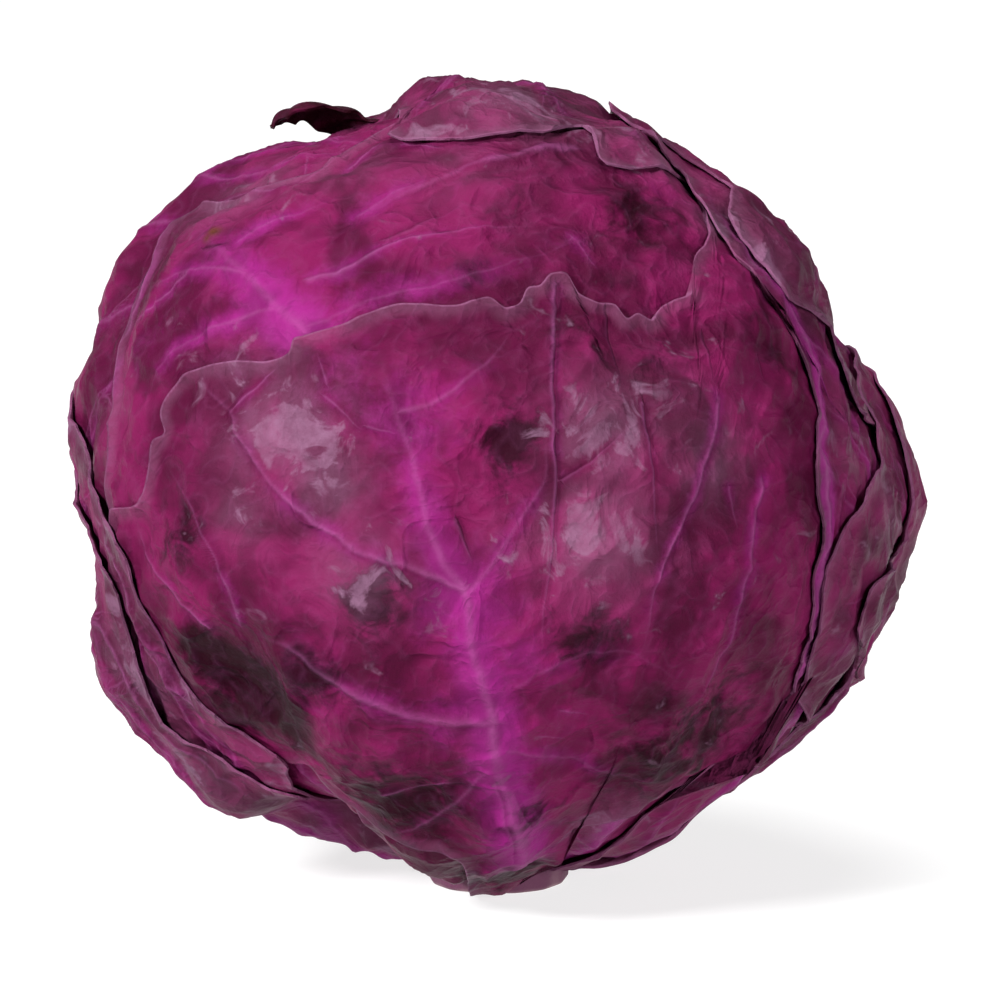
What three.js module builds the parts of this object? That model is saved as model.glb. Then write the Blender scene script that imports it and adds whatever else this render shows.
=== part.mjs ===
// A head of red cabbage: a tight heart of packed inner leaves on a short cut stem, wrapped in thirteen large
// loose leaves. The head stands on the cut face of its stem.
// Millimetres, +Z up, and the origin is the middle of that cut face. The front of the head faces -Y. Azimuth is 0
// at the front and grows to the right, and elevation is -90 at the stem.
import * as THREE from "three";

// Driving dimensions of the head
const HEAD_RADIUS = 85; // mean radius of the whole head, on which all places are given
const CENTRE_HEIGHT = 81.8; // the head's middle above the cut face
const HEART_HALF_WIDTH = 75; // across, front to back and upwards, from the middle to the lowest leaves
const HEART_HALF_DEPTH = 75;
const HEART_HALF_HEIGHT = 74;
const HEART_BELOW = 64.5; // from the middle down to the lowest leaves
const HEART_CLEAR = 2.4; // room between the heart and the lowest leaves
const HEART_LEAN = new THREE.Vector3(-2.5, 0, 0); // the head is a little fuller on its left

// Driving dimensions of the leaves
const LEAF_THICKNESS = 0.9;
const LEAF_GAP = 1.5; // room between one leaf and the next
const LEAF_STEP = LEAF_THICKNESS + LEAF_GAP;
const DRAPE = 20; // a leaf that lies over another's margin comes down to the layer below in this distance
const DRAPE_AT_STEM = 9;
const MARGIN = 13; // width of the border that lifts off the head
const RUFFLES = 7; // waves in how far the border lifts, round a leaf
const EDGE_WAVES = 9; // waves along the margin of a leaf that isn't seen from the front
const RIB_HALF_WIDTH = 11; // of a midrib where it leaves the stem
const RIB_TIP_WIDTH = 0.7; // its width at the tip, as a share of that at the stem
const RIB_HEIGHT = 2.4;
const RIB_LENGTH = 120; // from the stem to where the midrib has sunk into the leaf
const FELT_SPREAD = 12; // the leaves above feel a margin smoothed over so many degrees on either side
const COLUMNS_CLOSER = 0.35; // how much closer a leaf's grid columns stand at its midrib than they would evenly
const CELLS = 14; // grid cells across a leaf
const CELLS_LARGE = 18;
const LARGE_LEAVES = ["leaf_upper_left", "leaf_front", "leaf_crown_back", "leaf_crown_left"];

// Round the stem the leaves' feet crowd together, so the leaves lie flatter there. Each pair says between which
// heights that ends, on a ball of radius 1 whose lowest point is -1.
const WAVES_START = [-0.99, -0.85];
const MARGINS_LIFT = [-0.97, -0.8];
const DRAPE_WIDENS = [-0.97, -0.7];
const LIFT_AT_STEM = 0.4; // how far a leaf stands off there, as a share of what it does elsewhere

// Driving dimensions of the cut stem
const STEM_FACE_RADIUS = 14;
const STEM_CHAMFER = 0.8; // round the cut face
const STEM_NECK_RADIUS = 15;
const STEM_NECK_HEIGHT = 5; // from the cut face to where the neck is at its full radius
const STEM_GAP = 0.6; // between the stem's top and the heart
const STEM_SIDES = 28;
const STEM_TOP_RINGS = 5;
const HEART_SPOKES = 34;
const HEART_RINGS = 22;
const FOOT = -74; // elevation of the feet of the leaves, just clear of the stem

// Most places are given as the front view shows them, which looks down by this angle.
const VIEW_ELEVATION = THREE.MathUtils.degToRad(12);
const VIEW_UP = new THREE.Vector3(0, Math.sin(VIEW_ELEVATION), Math.cos(VIEW_ELEVATION));
const VIEW_BACK = new THREE.Vector3(0, -Math.cos(VIEW_ELEVATION), Math.sin(VIEW_ELEVATION));

const SKIN = {
  heart: { color: 0x7a1f5c, roughness: 0.45 },
  stem: { color: 0xcdb9c4, roughness: 0.7 },
  leaf: { color: 0x6e1c50, roughness: 0.42 },
};

// Directions from the head's middle

// The direction of a point seen in the front view, x to the right and z upwards from the head's middle, in mm.
function front(x, z) {
  const near = Math.sqrt(Math.max(HEAD_RADIUS ** 2 - x * x - z * z, 0));
  return new THREE.Vector3(x, 0, 0).addScaledVector(VIEW_UP, z).addScaledVector(VIEW_BACK, near).normalize();
}

// The direction at this azimuth and elevation, in degrees.
function around(azimuth, elevation) {
  const a = THREE.MathUtils.degToRad(azimuth);
  const e = THREE.MathUtils.degToRad(elevation);
  return new THREE.Vector3(Math.sin(a) * Math.cos(e), -Math.cos(a) * Math.cos(e), Math.sin(e));
}

// The direction of a point on the outline that the front view shows, at this angle up from the right.
function rim(angle) {
  const a = THREE.MathUtils.degToRad(angle);
  return new THREE.Vector3(Math.cos(a), 0, 0).addScaledVector(VIEW_UP, Math.sin(a));
}

// Swells and hollows of the whole head: where, how wide and how high, in mm
const LUMPS = [
  [rim(20), 22, -10],
  [rim(42), 22, -5.5],
  [rim(62), 22, -9],
  [rim(101), 11, 2],
  [rim(110), 16, -10],
  [rim(132), 12, 7],
  [rim(149), 20, 2.5],
  [rim(192), 20, -7],
  [rim(215), 22, 3],
  [rim(244), 16, -9],
  [rim(306), 22, -4],
  [rim(330), 17, 1],
  [front(-51, -41), 17, -6],
  [front(-20, -62), 17, -3],
  [front(48, -48), 16, -3.5],
  [front(-79, 4), 11, 2],
  [front(-2, -25), 14, 1.8],
  [front(-50, 34), 16, 1.6],
  [front(38, 4), 18, 1.2],
  [around(150, 20), 30, 2.5],
  [around(-140, 30), 26, -2.5],
  [around(170, -35), 24, 2],
  [around(120, -45), 20, -2.5],
  [around(-125, -30), 22, 2],
];

// Slow waves over the head: a direction with its waves per radian, a phase and a height
const WAVES = [
  [new THREE.Vector3(5.1, 2.3, -3.2), 0.4, 0.55],
  [new THREE.Vector3(-2.7, 6.4, 2.9), 1.9, 0.5],
  [new THREE.Vector3(3.8, -4.6, 6.1), 3.1, 0.45],
  [new THREE.Vector3(-7.9, -3.1, 4.4), 4.6, 0.35],
  [new THREE.Vector3(6.6, 8.2, 5.3), 5.5, 0.25],
];

// How far the heart's outside is from the head's middle: an egg-like ball with its swells, hollows and waves.
function form(d) {
  const half = d.z < 0 ? HEART_BELOW : HEART_HALF_HEIGHT;
  const ball = 1 / Math.hypot(d.x / HEART_HALF_WIDTH, d.y / HEART_HALF_DEPTH, d.z / half);
  const calm = THREE.MathUtils.smoothstep(d.z, ...WAVES_START);
  let radius = ball + HEART_LEAN.dot(d);
  for (const [place, width, height] of LUMPS) {
    radius += height * Math.exp(-((HEAD_RADIUS * place.distanceTo(d)) ** 2) / width ** 2);
  }
  for (const [wave, phase, height] of WAVES) radius += calm * height * Math.sin(wave.dot(d) + phase);
  return radius;
}

// Leaves, from the innermost to the outermost. Each outline runs once round the leaf from its foot at the stem.
// The midrib runs from foot to tip by way of middle, from which all of the outline can be seen.
// room is what a leaf stands off the ones below over its whole face, and lift what its margin adds to that, in mm.
// flaps are places on the margin that curl off the head: where, how wide and how high, in mm.
const LEAVES = [
  {
    name: "leaf_crown_left",
    middle: around(-105, 25),
    foot: around(-110, FOOT),
    tip: around(-80, 78),
    outline: [
      around(-95, FOOT), around(-62, -55), around(-52, -15), around(-48, 25), front(-44, 60), front(-10, 76),
      around(60, 84), around(170, 72), around(-165, 45), around(-158, 10), around(-150, -35), around(-125, FOOT),
    ],
    waved: 1.2,
    lift: 0.4,
  },
  {
    name: "leaf_low_left",
    middle: front(-32, -52),
    foot: around(-28, FOOT),
    tip: front(-46, -22),
    outline: [
      around(-50, FOOT), around(-68, -62), front(-70, -42), front(-66, -20), front(-42, -10), front(-14, -28),
      front(4, -54), front(8, -72), around(-8, FOOT),
    ],
    room: 0.6,
    lift: 0.3,
  },
  {
    name: "leaf_low_right",
    middle: front(38, -42),
    foot: around(38, FOOT),
    tip: front(44, -18),
    outline: [
      around(14, FOOT), front(10, -60), front(14, -26), front(34, -4), front(58, -4), around(68, -22),
      around(74, -55), around(62, FOOT),
    ],
    lift: 0.3,
  },
  {
    name: "leaf_upper_left",
    middle: front(-22, 18),
    foot: around(-22, FOOT),
    tip: front(-61, 56),
    outline: [
      around(-34, FOOT), front(-39, -54), front(-61, -36), front(-75, -18), front(-82, -5), front(-81.5, 8),
      front(-81, 22), front(-78, 36), front(-73, 46), front(-69, 54), front(-63, 58), front(-54, 60),
      front(-47, 63), front(-39, 66.5), front(-30, 72), front(-19, 77.5), front(-6, 80.5), around(60, 82),
      front(30, 72), front(48, 58), front(58, 32), front(48, 0), front(28, -34), around(-6, FOOT),
    ],
    room: 2,
    lift: 0.5,
  },
  {
    name: "leaf_crown_back",
    middle: around(165, 32),
    foot: around(165, FOOT),
    tip: around(150, 88),
    outline: [
      around(-170, FOOT), around(-148, -30), around(-140, 20), around(-128, 50), around(-104, 57), around(-88, 56),
      around(-76, 66), front(-18, 78), front(-11, 74.5), front(-2, 71), front(10, 72), front(17.5, 73),
      front(20.5, 70.5), front(21.5, 66.5), front(29, 65), front(39, 64.5), front(46, 62), around(80, 52),
      around(112, 40), around(122, 0), around(128, -40), around(145, FOOT),
    ],
    room: 1.5,
    lift: 0.4,
    flaps: [[around(-92, 57), 8, 7]],
  },
  {
    name: "leaf_front",
    middle: front(-3, -26),
    foot: around(2, FOOT),
    tip: front(-20, 22),
    outline: [
      around(-14, FOOT), front(-8, -74), front(-16, -71), front(-27, -68), front(-35, -64.5), front(-39.5, -60),
      front(-45, -59), front(-56, -53), front(-66, -44), front(-74, -30), front(-79, -17), front(-80.5, -7),
      front(-72, -4), front(-70, 6.5), front(-67, 10), front(-66.5, 15), front(-64, 19.5), front(-60, 22.5),
      front(-49, 24.5), front(-44, 26), front(-41, 29), front(-34, 30), front(-19.5, 36), front(-10, 35.5),
      front(-1.5, 37.5), front(2, 35.5), front(5, 36.5), front(6.5, 39.5), front(10, 41.5), front(14, 42),
      front(17, 38.5), front(23, 37), front(28.5, 34), front(34, 36.5), front(39, 38), front(44, 47),
      front(54, 48), front(64, 36), front(70, 20), front(73, 2), front(72.5, -16), front(69, -32),
      front(63, -45), front(54, -56), front(40, -64.5), front(26, -69.5), front(15, -74), around(14, FOOT),
    ],
    room: 2.1,
    lift: 0.5,
  },
  {
    name: "leaf_left",
    middle: around(-85, -35),
    foot: around(-72, FOOT),
    tip: around(-102, 4),
    outline: [
      around(-52, FOOT), front(-43, -64), front(-44, -59), front(-47, -55.5), front(-53, -51), front(-59.5, -45),
      front(-65, -40), front(-69, -32), front(-72.5, -23.5), front(-75.5, -16), front(-78.5, -11),
      front(-81.8, -7), around(-105, 12), around(-120, 4), around(-128, -25), around(-122, -55), around(-92, FOOT),
    ],
    lift: 0.5,
  },
  {
    name: "leaf_left_low",
    middle: around(-98, -42),
    foot: around(-92, FOOT),
    tip: around(-126, 0),
    outline: [
      around(-68, FOOT), front(-38, -71), front(-41, -66), front(-49, -62), front(-55, -58), front(-60.5, -55),
      front(-66.5, -51), front(-70.5, -46), front(-72, -41.5), front(-75, -35), front(-77, -28.5),
      front(-79, -21.5), front(-81.6, -17), around(-112, 4), around(-134, 6), around(-150, -15),
      around(-150, -45), around(-118, FOOT),
    ],
    room: 0.6,
    lift: 0.6,
    flaps: [[front(-46, -68), 8, 3]],
  },
  {
    name: "leaf_right",
    middle: around(72, -2),
    foot: around(58, FOOT),
    tip: around(76, 40),
    outline: [
      around(38, FOOT), front(39, -65), front(49, -60), front(58.5, -52), front(60.5, -44), front(62, -36),
      front(63.5, -28), front(65, -20), front(67, -12), front(66, -4), front(66, 4), front(67, 12), front(66, 21),
      front(63.5, 28), front(61, 34), front(57.5, 38), front(52, 42), front(48, 47.5), front(45, 54.5),
      front(41.5, 60.5), front(38, 65.5), around(90, 68), around(112, 52), around(118, 15), around(112, -30),
      around(100, -60), around(80, FOOT),
    ],
    room: 2.3,
    lift: 0.5,
  },
  {
    name: "leaf_upper_right",
    middle: around(112, 12),
    foot: around(118, FOOT),
    tip: around(100, 55),
    outline: [
      around(98, FOOT), around(90, -40), around(88, -12), front(80.5, 7), front(75.5, 15), front(72, 22.5),
      front(70.5, 30), front(61, 36.5), front(58, 38.5), front(52.5, 47.5), front(49, 55), front(46, 62),
      around(95, 70), around(140, 64), around(158, 40), around(162, 0), around(155, -45), around(138, FOOT),
    ],
    room: 0.5,
    waved: 1.2,
    lift: 0.5,
  },
  {
    name: "leaf_right_low",
    middle: around(92, -32),
    foot: around(84, FOOT),
    tip: around(104, 8),
    outline: [
      around(66, FOOT), front(51, -62), front(60, -52), front(62, -44), front(64.2, -32), front(66, -22),
      front(70.5, -12), front(75.5, -2), front(79, 4), around(98, 16), around(118, 14), around(130, -10),
      around(128, -45), around(104, FOOT),
    ],
    room: 0.3,
    lift: 0.5,
  },
  {
    name: "leaf_far_right",
    middle: around(112, -34),
    foot: around(112, FOOT),
    tip: around(128, 10),
    outline: [
      around(92, FOOT), around(78, -66), front(68, -45), front(72.5, -41), front(72, -36.5), front(70.8, -31),
      front(72.5, -25), front(76.5, -19.5), front(80.5, -13.5), around(92, 2), around(112, 14), around(138, 14),
      around(154, -8), around(152, -45), around(132, FOOT),
    ],
    room: 0.2,
    lift: 0.6,
  },
  {
    name: "leaf_back",
    middle: around(-172, -22),
    foot: around(-168, FOOT),
    tip: around(-170, 36),
    outline: [
      around(168, FOOT), around(148, -45), around(142, -5), around(152, 30), around(172, 46), around(-160, 44),
      around(-138, 26), around(-130, -8), around(-132, -45), around(-146, FOOT),
    ],
    waved: 1.6,
    room: 0.3,
    lift: 0.6,
  },
];

// Leaf outlines, as the distance from the leaf's middle for each degree round it

const TURNS = 360;
const OUTLINE_STEPS = 3 * TURNS;

function chart(leaf) {
  const out = leaf.middle;
  const side = new THREE.Vector3().crossVectors(new THREE.Vector3(0, 0, 1), out).normalize();
  return { out, side, up: new THREE.Vector3().crossVectors(out, side) };
}

// Where a direction lies in a leaf's chart: its angle from the leaf's middle and its bearing, both in radians.
function polar(leaf, d) {
  const { out, side, up } = leaf.chart;
  const far = Math.acos(THREE.MathUtils.clamp(out.dot(d), -1, 1));
  return { far, bearing: Math.atan2(up.dot(d), side.dot(d)) };
}

function fromPolar(leaf, far, bearing) {
  const { out, side, up } = leaf.chart;
  return new THREE.Vector3()
    .addScaledVector(out, Math.cos(far))
    .addScaledVector(side, Math.sin(far) * Math.cos(bearing))
    .addScaledVector(up, Math.sin(far) * Math.sin(bearing));
}

function lookUp(table, bearing) {
  const t = ((bearing / (2 * Math.PI)) * TURNS + 2 * TURNS) % TURNS;
  const i = Math.floor(t);
  return THREE.MathUtils.lerp(table[i % TURNS], table[(i + 1) % TURNS], t - i);
}

// The outline as a smooth closed curve through its points, turned into a distance for each degree of bearing.
function reachTable(leaf) {
  const curve = new THREE.CatmullRomCurve3(leaf.outline, true, "centripetal");
  const spots = curve.getPoints(OUTLINE_STEPS).map((point) => polar(leaf, point.normalize()));
  const table = new Array(TURNS).fill(0);
  for (let k = 0; k + 1 < spots.length; k++) {
    const from = (spots[k].bearing / (2 * Math.PI)) * TURNS;
    const step = ((spots[k + 1].bearing - spots[k].bearing) / (2 * Math.PI)) * TURNS;
    const turned = step - TURNS * Math.round(step / TURNS);
    const first = Math.ceil(Math.min(from, from + turned));
    const last = Math.floor(Math.max(from, from + turned));
    for (let i = first; i <= last; i++) {
      const t = turned === 0 ? 0 : (i - from) / turned;
      const far = THREE.MathUtils.lerp(spots[k].far, spots[k + 1].far, t);
      const place = (i + 2 * TURNS) % TURNS;
      table[place] = Math.max(table[place], far);
    }
  }
  const waved = leaf.waved ?? 0;
  return table.map((far, i) => far + (waved / HEAD_RADIUS) * Math.sin((EDGE_WAVES * 2 * Math.PI * i) / TURNS));
}

// The outline taken a little outwards and smoothed, which is what the leaves above feel.
function feltTable(reach) {
  const widest = reach.map((_, i) => {
    let most = 0;
    for (let k = -FELT_SPREAD; k <= FELT_SPREAD; k++) most = Math.max(most, reach[(i + k + TURNS) % TURNS]);
    return most;
  });
  return widest.map((_, i) => {
    let sum = 0;
    for (let k = -FELT_SPREAD; k <= FELT_SPREAD; k++) sum += widest[(i + k + TURNS) % TURNS];
    return sum / (2 * FELT_SPREAD + 1);
  });
}

for (const leaf of LEAVES) {
  leaf.chart = chart(leaf);
  leaf.reach = reachTable(leaf);
  leaf.felt = feltTable(leaf.reach);
}

// Heights of the layers

// Distance in mm from a direction to a leaf's midrib, and how far along it that is from the stem.
function nearRib(leaf, d) {
  let best = Infinity;
  let at = 0;
  let run = 0;
  const rib = [leaf.foot, leaf.middle, leaf.tip];
  for (let i = 0; i + 1 < rib.length; i++) {
    const length = rib[i].angleTo(rib[i + 1]);
    const ahead = rib[i + 1].clone().projectOnPlane(rib[i]).normalize();
    const t = THREE.MathUtils.clamp(Math.atan2(d.dot(ahead), d.dot(rib[i])), 0, length);
    const near = rib[i].clone().multiplyScalar(Math.cos(t)).addScaledVector(ahead, Math.sin(t));
    const gap = d.distanceTo(near);
    if (gap < best) {
      best = gap;
      at = run + t;
    }
    run += length;
  }
  return { gap: best * HEAD_RADIUS, at: at * HEAD_RADIUS };
}

// How much thicker a leaf is over its midrib: widest and highest at the stem, and sunk into the leaf near the tip.
function swell(leaf, d) {
  const { gap, at } = nearRib(leaf, d);
  const fade = Math.max(1 - at / RIB_LENGTH, 0);
  const width = RIB_HALF_WIDTH * THREE.MathUtils.lerp(RIB_TIP_WIDTH, 1, fade);
  return RIB_HEIGHT * fade * Math.exp(-((gap / width) ** 2));
}

// How far a leaf stands off what it lies on: its margin lifts, and its flaps curl off.
function rise(leaf, d, spot) {
  const inside = (lookUp(leaf.reach, spot.bearing) - spot.far) * HEAD_RADIUS;
  const ruffle = 1 + Math.sin(RUFFLES * spot.bearing + leaf.lift);
  let height = (leaf.room ?? 0) + leaf.lift * ruffle * (1 - THREE.MathUtils.smoothstep(inside, 0, MARGIN));
  for (const [place, width, up] of leaf.flaps ?? []) {
    height += up * Math.exp(-((HEAD_RADIUS * place.distanceTo(d)) ** 2) / width ** 2);
  }
  return height * THREE.MathUtils.lerp(LIFT_AT_STEM, 1, THREE.MathUtils.smoothstep(d.z, ...MARGINS_LIFT));
}

// What a leaf adds under the leaves above it: its whole height where it lies, draped down to nothing outside
// its margin.
function layer(leaf, d) {
  const spot = polar(leaf, d);
  const outside = (spot.far - lookUp(leaf.felt, spot.bearing)) * HEAD_RADIUS;
  const clear = THREE.MathUtils.smoothstep(d.z, ...DRAPE_WIDENS);
  const cover = 1 - THREE.MathUtils.smoothstep(outside, 0, THREE.MathUtils.lerp(DRAPE_AT_STEM, DRAPE, clear));
  return cover * (LEAF_STEP + rise(leaf, d, spot) + swell(leaf, d));
}

// Distance from the head's middle to the underside of leaf number n.
function underside(n, d) {
  let radius = form(d) + LEAF_GAP;
  for (let i = 0; i < n; i++) radius += layer(LEAVES[i], d);
  return radius + rise(LEAVES[n], d, polar(LEAVES[n], d));
}

// Meshes

// A closed mesh from its points, as triples of numbers, and its triangles.
function solid(points, triangles) {
  const geometry = new THREE.BufferGeometry();
  geometry.setAttribute("position", new THREE.Float32BufferAttribute(points, 3));
  geometry.setIndex(triangles);
  geometry.computeVertexNormals();
  return geometry;
}

// A square grid point, each way from -1 to 1, moved onto the unit disc: squares about the middle become circles.
function squareToDisc(a, b) {
  if (a === 0 && b === 0) return { r: 0, turn: 0 };
  if (Math.abs(a) > Math.abs(b)) {
    return { r: Math.abs(a), turn: (Math.PI / 4) * (b / a) + (a < 0 ? Math.PI : 0) };
  }
  return { r: Math.abs(b), turn: Math.PI / 2 - (Math.PI / 4) * (a / b) + (b < 0 ? Math.PI : 0) };
}

// The bearing for a turn round the grid: down its middle column the bearing is that of the foot, and up it the tip's.
function bearingFor(leaf, turn) {
  const foot = polar(leaf, leaf.foot).bearing;
  const tip = polar(leaf, leaf.tip).bearing;
  const right = (((tip - foot) % (2 * Math.PI)) + 2 * Math.PI) % (2 * Math.PI);
  const t = (((turn + Math.PI / 2) % (2 * Math.PI)) + 2 * Math.PI) % (2 * Math.PI);
  if (t < Math.PI) return foot + (t / Math.PI) * right;
  return tip + ((t - Math.PI) / Math.PI) * (2 * Math.PI - right);
}

// Columns stand closer beside the midrib than at the sides of a leaf.
function column(a) {
  return a * (1 - COLUMNS_CLOSER + COLUMNS_CLOSER * Math.abs(a));
}

// A leaf is a square grid drawn out to its outline, with an outer face, an inner face and a rim between them.
// Both faces are split into triangles alike, so that the thin blade never crosses itself.
function leafGeometry(n, cells) {
  const leaf = LEAVES[n];
  const side = cells + 1;
  const outer = [];
  const inner = [];
  for (let i = 0; i < side; i++) {
    for (let j = 0; j < side; j++) {
      const { r, turn } = squareToDisc(column((2 * i) / cells - 1), (2 * j) / cells - 1);
      const bearing = bearingFor(leaf, turn);
      const d = fromPolar(leaf, r * lookUp(leaf.reach, bearing), bearing);
      const low = underside(n, d);
      inner.push(d.clone().multiplyScalar(low));
      outer.push(d.clone().multiplyScalar(low + LEAF_THICKNESS + swell(leaf, d)));
    }
  }
  const points = [...outer, ...inner].flatMap((p) => [p.x, p.y, p.z + CENTRE_HEIGHT]);
  const under = side * side;
  const triangles = [];
  for (let i = 0; i < cells; i++) {
    for (let j = 0; j < cells; j++) {
      const a = i * side + j;
      const b = a + side;
      triangles.push(a, b, b + 1, a, b + 1, a + 1);
      triangles.push(under + a, under + b + 1, under + b, under + a, under + a + 1, under + b + 1);
    }
  }
  const border = [];
  for (let i = 0; i < cells; i++) border.push(i * side);
  for (let j = 0; j < cells; j++) border.push(cells * side + j);
  for (let i = cells; i > 0; i--) border.push(i * side + cells);
  for (let j = cells; j > 0; j--) border.push(j);
  border.forEach((a, k) => {
    const b = border[(k + 1) % border.length];
    triangles.push(a, under + a, b, b, under + a, under + b);
  });
  return solid(points, triangles);
}

// The heart: a ball drawn out to the head's form, a little below the lowest leaves.
function heartGeometry() {
  const geometry = new THREE.SphereGeometry(1, HEART_SPOKES, HEART_RINGS);
  geometry.rotateX(Math.PI / 2);
  const position = geometry.getAttribute("position");
  const d = new THREE.Vector3();
  for (let i = 0; i < position.count; i++) {
    d.fromBufferAttribute(position, i).normalize();
    d.multiplyScalar(form(d) - HEART_CLEAR);
    position.setXYZ(i, d.x, d.y, d.z + CENTRE_HEIGHT);
  }
  geometry.computeVertexNormals();
  return geometry;
}

// The cut stem: a short plug turned about Z, flat where it was cut, and hollowed above to follow the heart's
// underside.
function stemGeometry() {
  const profile = [new THREE.Vector2(0, 0), new THREE.Vector2(STEM_FACE_RADIUS, 0)];
  profile.push(new THREE.Vector2(STEM_FACE_RADIUS + STEM_CHAMFER, STEM_CHAMFER));
  profile.push(new THREE.Vector2(STEM_NECK_RADIUS, STEM_NECK_HEIGHT));
  for (let i = STEM_TOP_RINGS; i >= 0; i--) {
    const radius = (STEM_NECK_RADIUS * i) / STEM_TOP_RINGS;
    const below = HEART_BELOW * Math.sqrt(1 - (radius / HEART_HALF_WIDTH) ** 2);
    profile.push(new THREE.Vector2(radius, CENTRE_HEIGHT - below - STEM_GAP));
  }
  const geometry = new THREE.LatheGeometry(profile, STEM_SIDES);
  return geometry.rotateX(Math.PI / 2);
}

function mesh(name, geometry, skin) {
  const made = new THREE.Mesh(geometry, new THREE.MeshStandardMaterial({ ...skin, metalness: 0 }));
  made.name = name;
  return made;
}

const head = new THREE.Group();
head.name = "red_cabbage";
head.add(mesh("stem", stemGeometry(), SKIN.stem));
head.add(mesh("heart", heartGeometry(), SKIN.heart));
LEAVES.forEach((leaf, n) => {
  const cells = LARGE_LEAVES.includes(leaf.name) ? CELLS_LARGE : CELLS;
  head.add(mesh(leaf.name, leafGeometry(n, cells), SKIN.leaf));
});

export default head;
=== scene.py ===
"""A head of red cabbage standing on a pale floor, seen from the front and a little from above.

Z is up, the front faces -Y and the origin is the middle of the stem's cut face. A place on the head is
written as the front view shows it, x to the right and z upwards in millimetres from the middle of the
head, or as an azimuth from the front and an elevation in degrees.
"""

import math

import bpy
import numpy as np
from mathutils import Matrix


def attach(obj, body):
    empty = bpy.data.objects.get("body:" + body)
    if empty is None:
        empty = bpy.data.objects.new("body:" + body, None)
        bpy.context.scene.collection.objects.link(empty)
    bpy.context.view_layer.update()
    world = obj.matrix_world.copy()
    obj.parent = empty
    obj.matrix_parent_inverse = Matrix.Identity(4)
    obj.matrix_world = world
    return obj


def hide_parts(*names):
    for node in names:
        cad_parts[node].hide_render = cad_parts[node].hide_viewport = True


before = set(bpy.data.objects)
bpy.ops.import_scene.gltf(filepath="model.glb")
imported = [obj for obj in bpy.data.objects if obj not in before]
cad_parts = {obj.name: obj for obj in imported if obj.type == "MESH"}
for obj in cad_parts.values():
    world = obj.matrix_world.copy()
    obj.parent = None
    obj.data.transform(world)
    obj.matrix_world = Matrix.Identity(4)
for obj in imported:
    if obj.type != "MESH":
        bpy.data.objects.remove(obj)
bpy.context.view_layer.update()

# Stem
# The stump that the head is cut from: woody, with a ring of strands under its skin. A knife cut it
# across, and the face has dried since. All leaves grow out of it, and the head stands on it.

MM = 0.001
HEAD_MIDDLE = 81.8
STEM_RADIUS = 14.0
STEM_NECK = 15.0
STEM_TOP = 19.0


def paint(code):
    """A hex sRGB colour as linear red, green, blue and alpha."""
    channels = [int(code[i : i + 2], 16) / 255.0 for i in (1, 3, 5)]
    return [c / 12.92 if c <= 0.04045 else ((c + 0.055) / 1.055) ** 2.4 for c in channels] + [1.0]


def node(tree, kind, links, out=0, **settings):
    """Adds a shader node with its settings, and its inputs by number or name as sockets or values."""
    made = tree.nodes.new("ShaderNode" + kind)
    for name, value in settings.items():
        setattr(made, name, value)
    for name, value in links.items():
        if isinstance(value, bpy.types.NodeSocket):
            tree.links.new(value, made.inputs[name])
        else:
            made.inputs[name].default_value = value
    return made.outputs[out]


def make_piece(name, points, faces, flat_from, material, fields):
    """A mesh piece from points in mm, shaded smooth up to face number flat_from and flat from there on."""
    mesh = bpy.data.meshes.new(name)
    mesh.from_pydata((points * MM).astype(np.float32), [], faces)
    mesh.polygons.foreach_set("use_smooth", np.arange(len(faces)) < flat_from)
    for key, values in fields.items():
        attribute = mesh.attributes.new(key, "FLOAT", "POINT")
        attribute.data.foreach_set("value", values.astype(np.float32))
    mesh.materials.append(material)
    piece = bpy.data.objects.new(name, mesh)
    bpy.context.scene.collection.objects.link(piece)
    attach(piece, "root")
    return piece


def revolved(profile, around_count, uneven):
    """Points (radius, height) carried round Z in equal turns, each radius times uneven(turn, height)."""
    profile = np.array(profile)
    turn = np.linspace(0.0, 2.0 * math.pi, around_count, endpoint=False)
    ring = profile[1:-1]
    radius = ring[:, 0, None] * uneven(turn[None, :], ring[:, 1, None])
    height = np.broadcast_to(ring[:, 1, None], radius.shape)
    body = np.stack([radius * np.cos(turn), radius * np.sin(turn), height], axis=-1).reshape(-1, 3)
    ends = [[0.0, 0.0, profile[0, 1]], [0.0, 0.0, profile[-1, 1]]]
    points = np.concatenate([body, ends])
    k = np.arange(around_count)
    after = (k + 1) % around_count
    rows = np.arange(len(ring) - 1)[:, None] * around_count
    sides = np.stack([rows + k, rows + after, rows + around_count + after, rows + around_count + k], axis=-1)
    last = (len(ring) - 1) * around_count
    bottom = np.stack([np.full(around_count, len(body)), after, k], axis=1)
    top = np.stack([last + k, last + after, np.full(around_count, len(body) + 1)], axis=1)
    return points, sides.reshape(-1, 4).tolist() + bottom.tolist() + top.tolist()


def stem_uneven(turn, height):
    """The stump is a little lobed where the leaves' feet run into it, less so at the cut."""
    rise = np.clip(height / STEM_TOP, 0.0, 1.0)
    return 1.0 + (0.012 + 0.02 * rise) * np.sin(5.0 * turn + 0.7) + 0.008 * np.sin(13.0 * turn)


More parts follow.
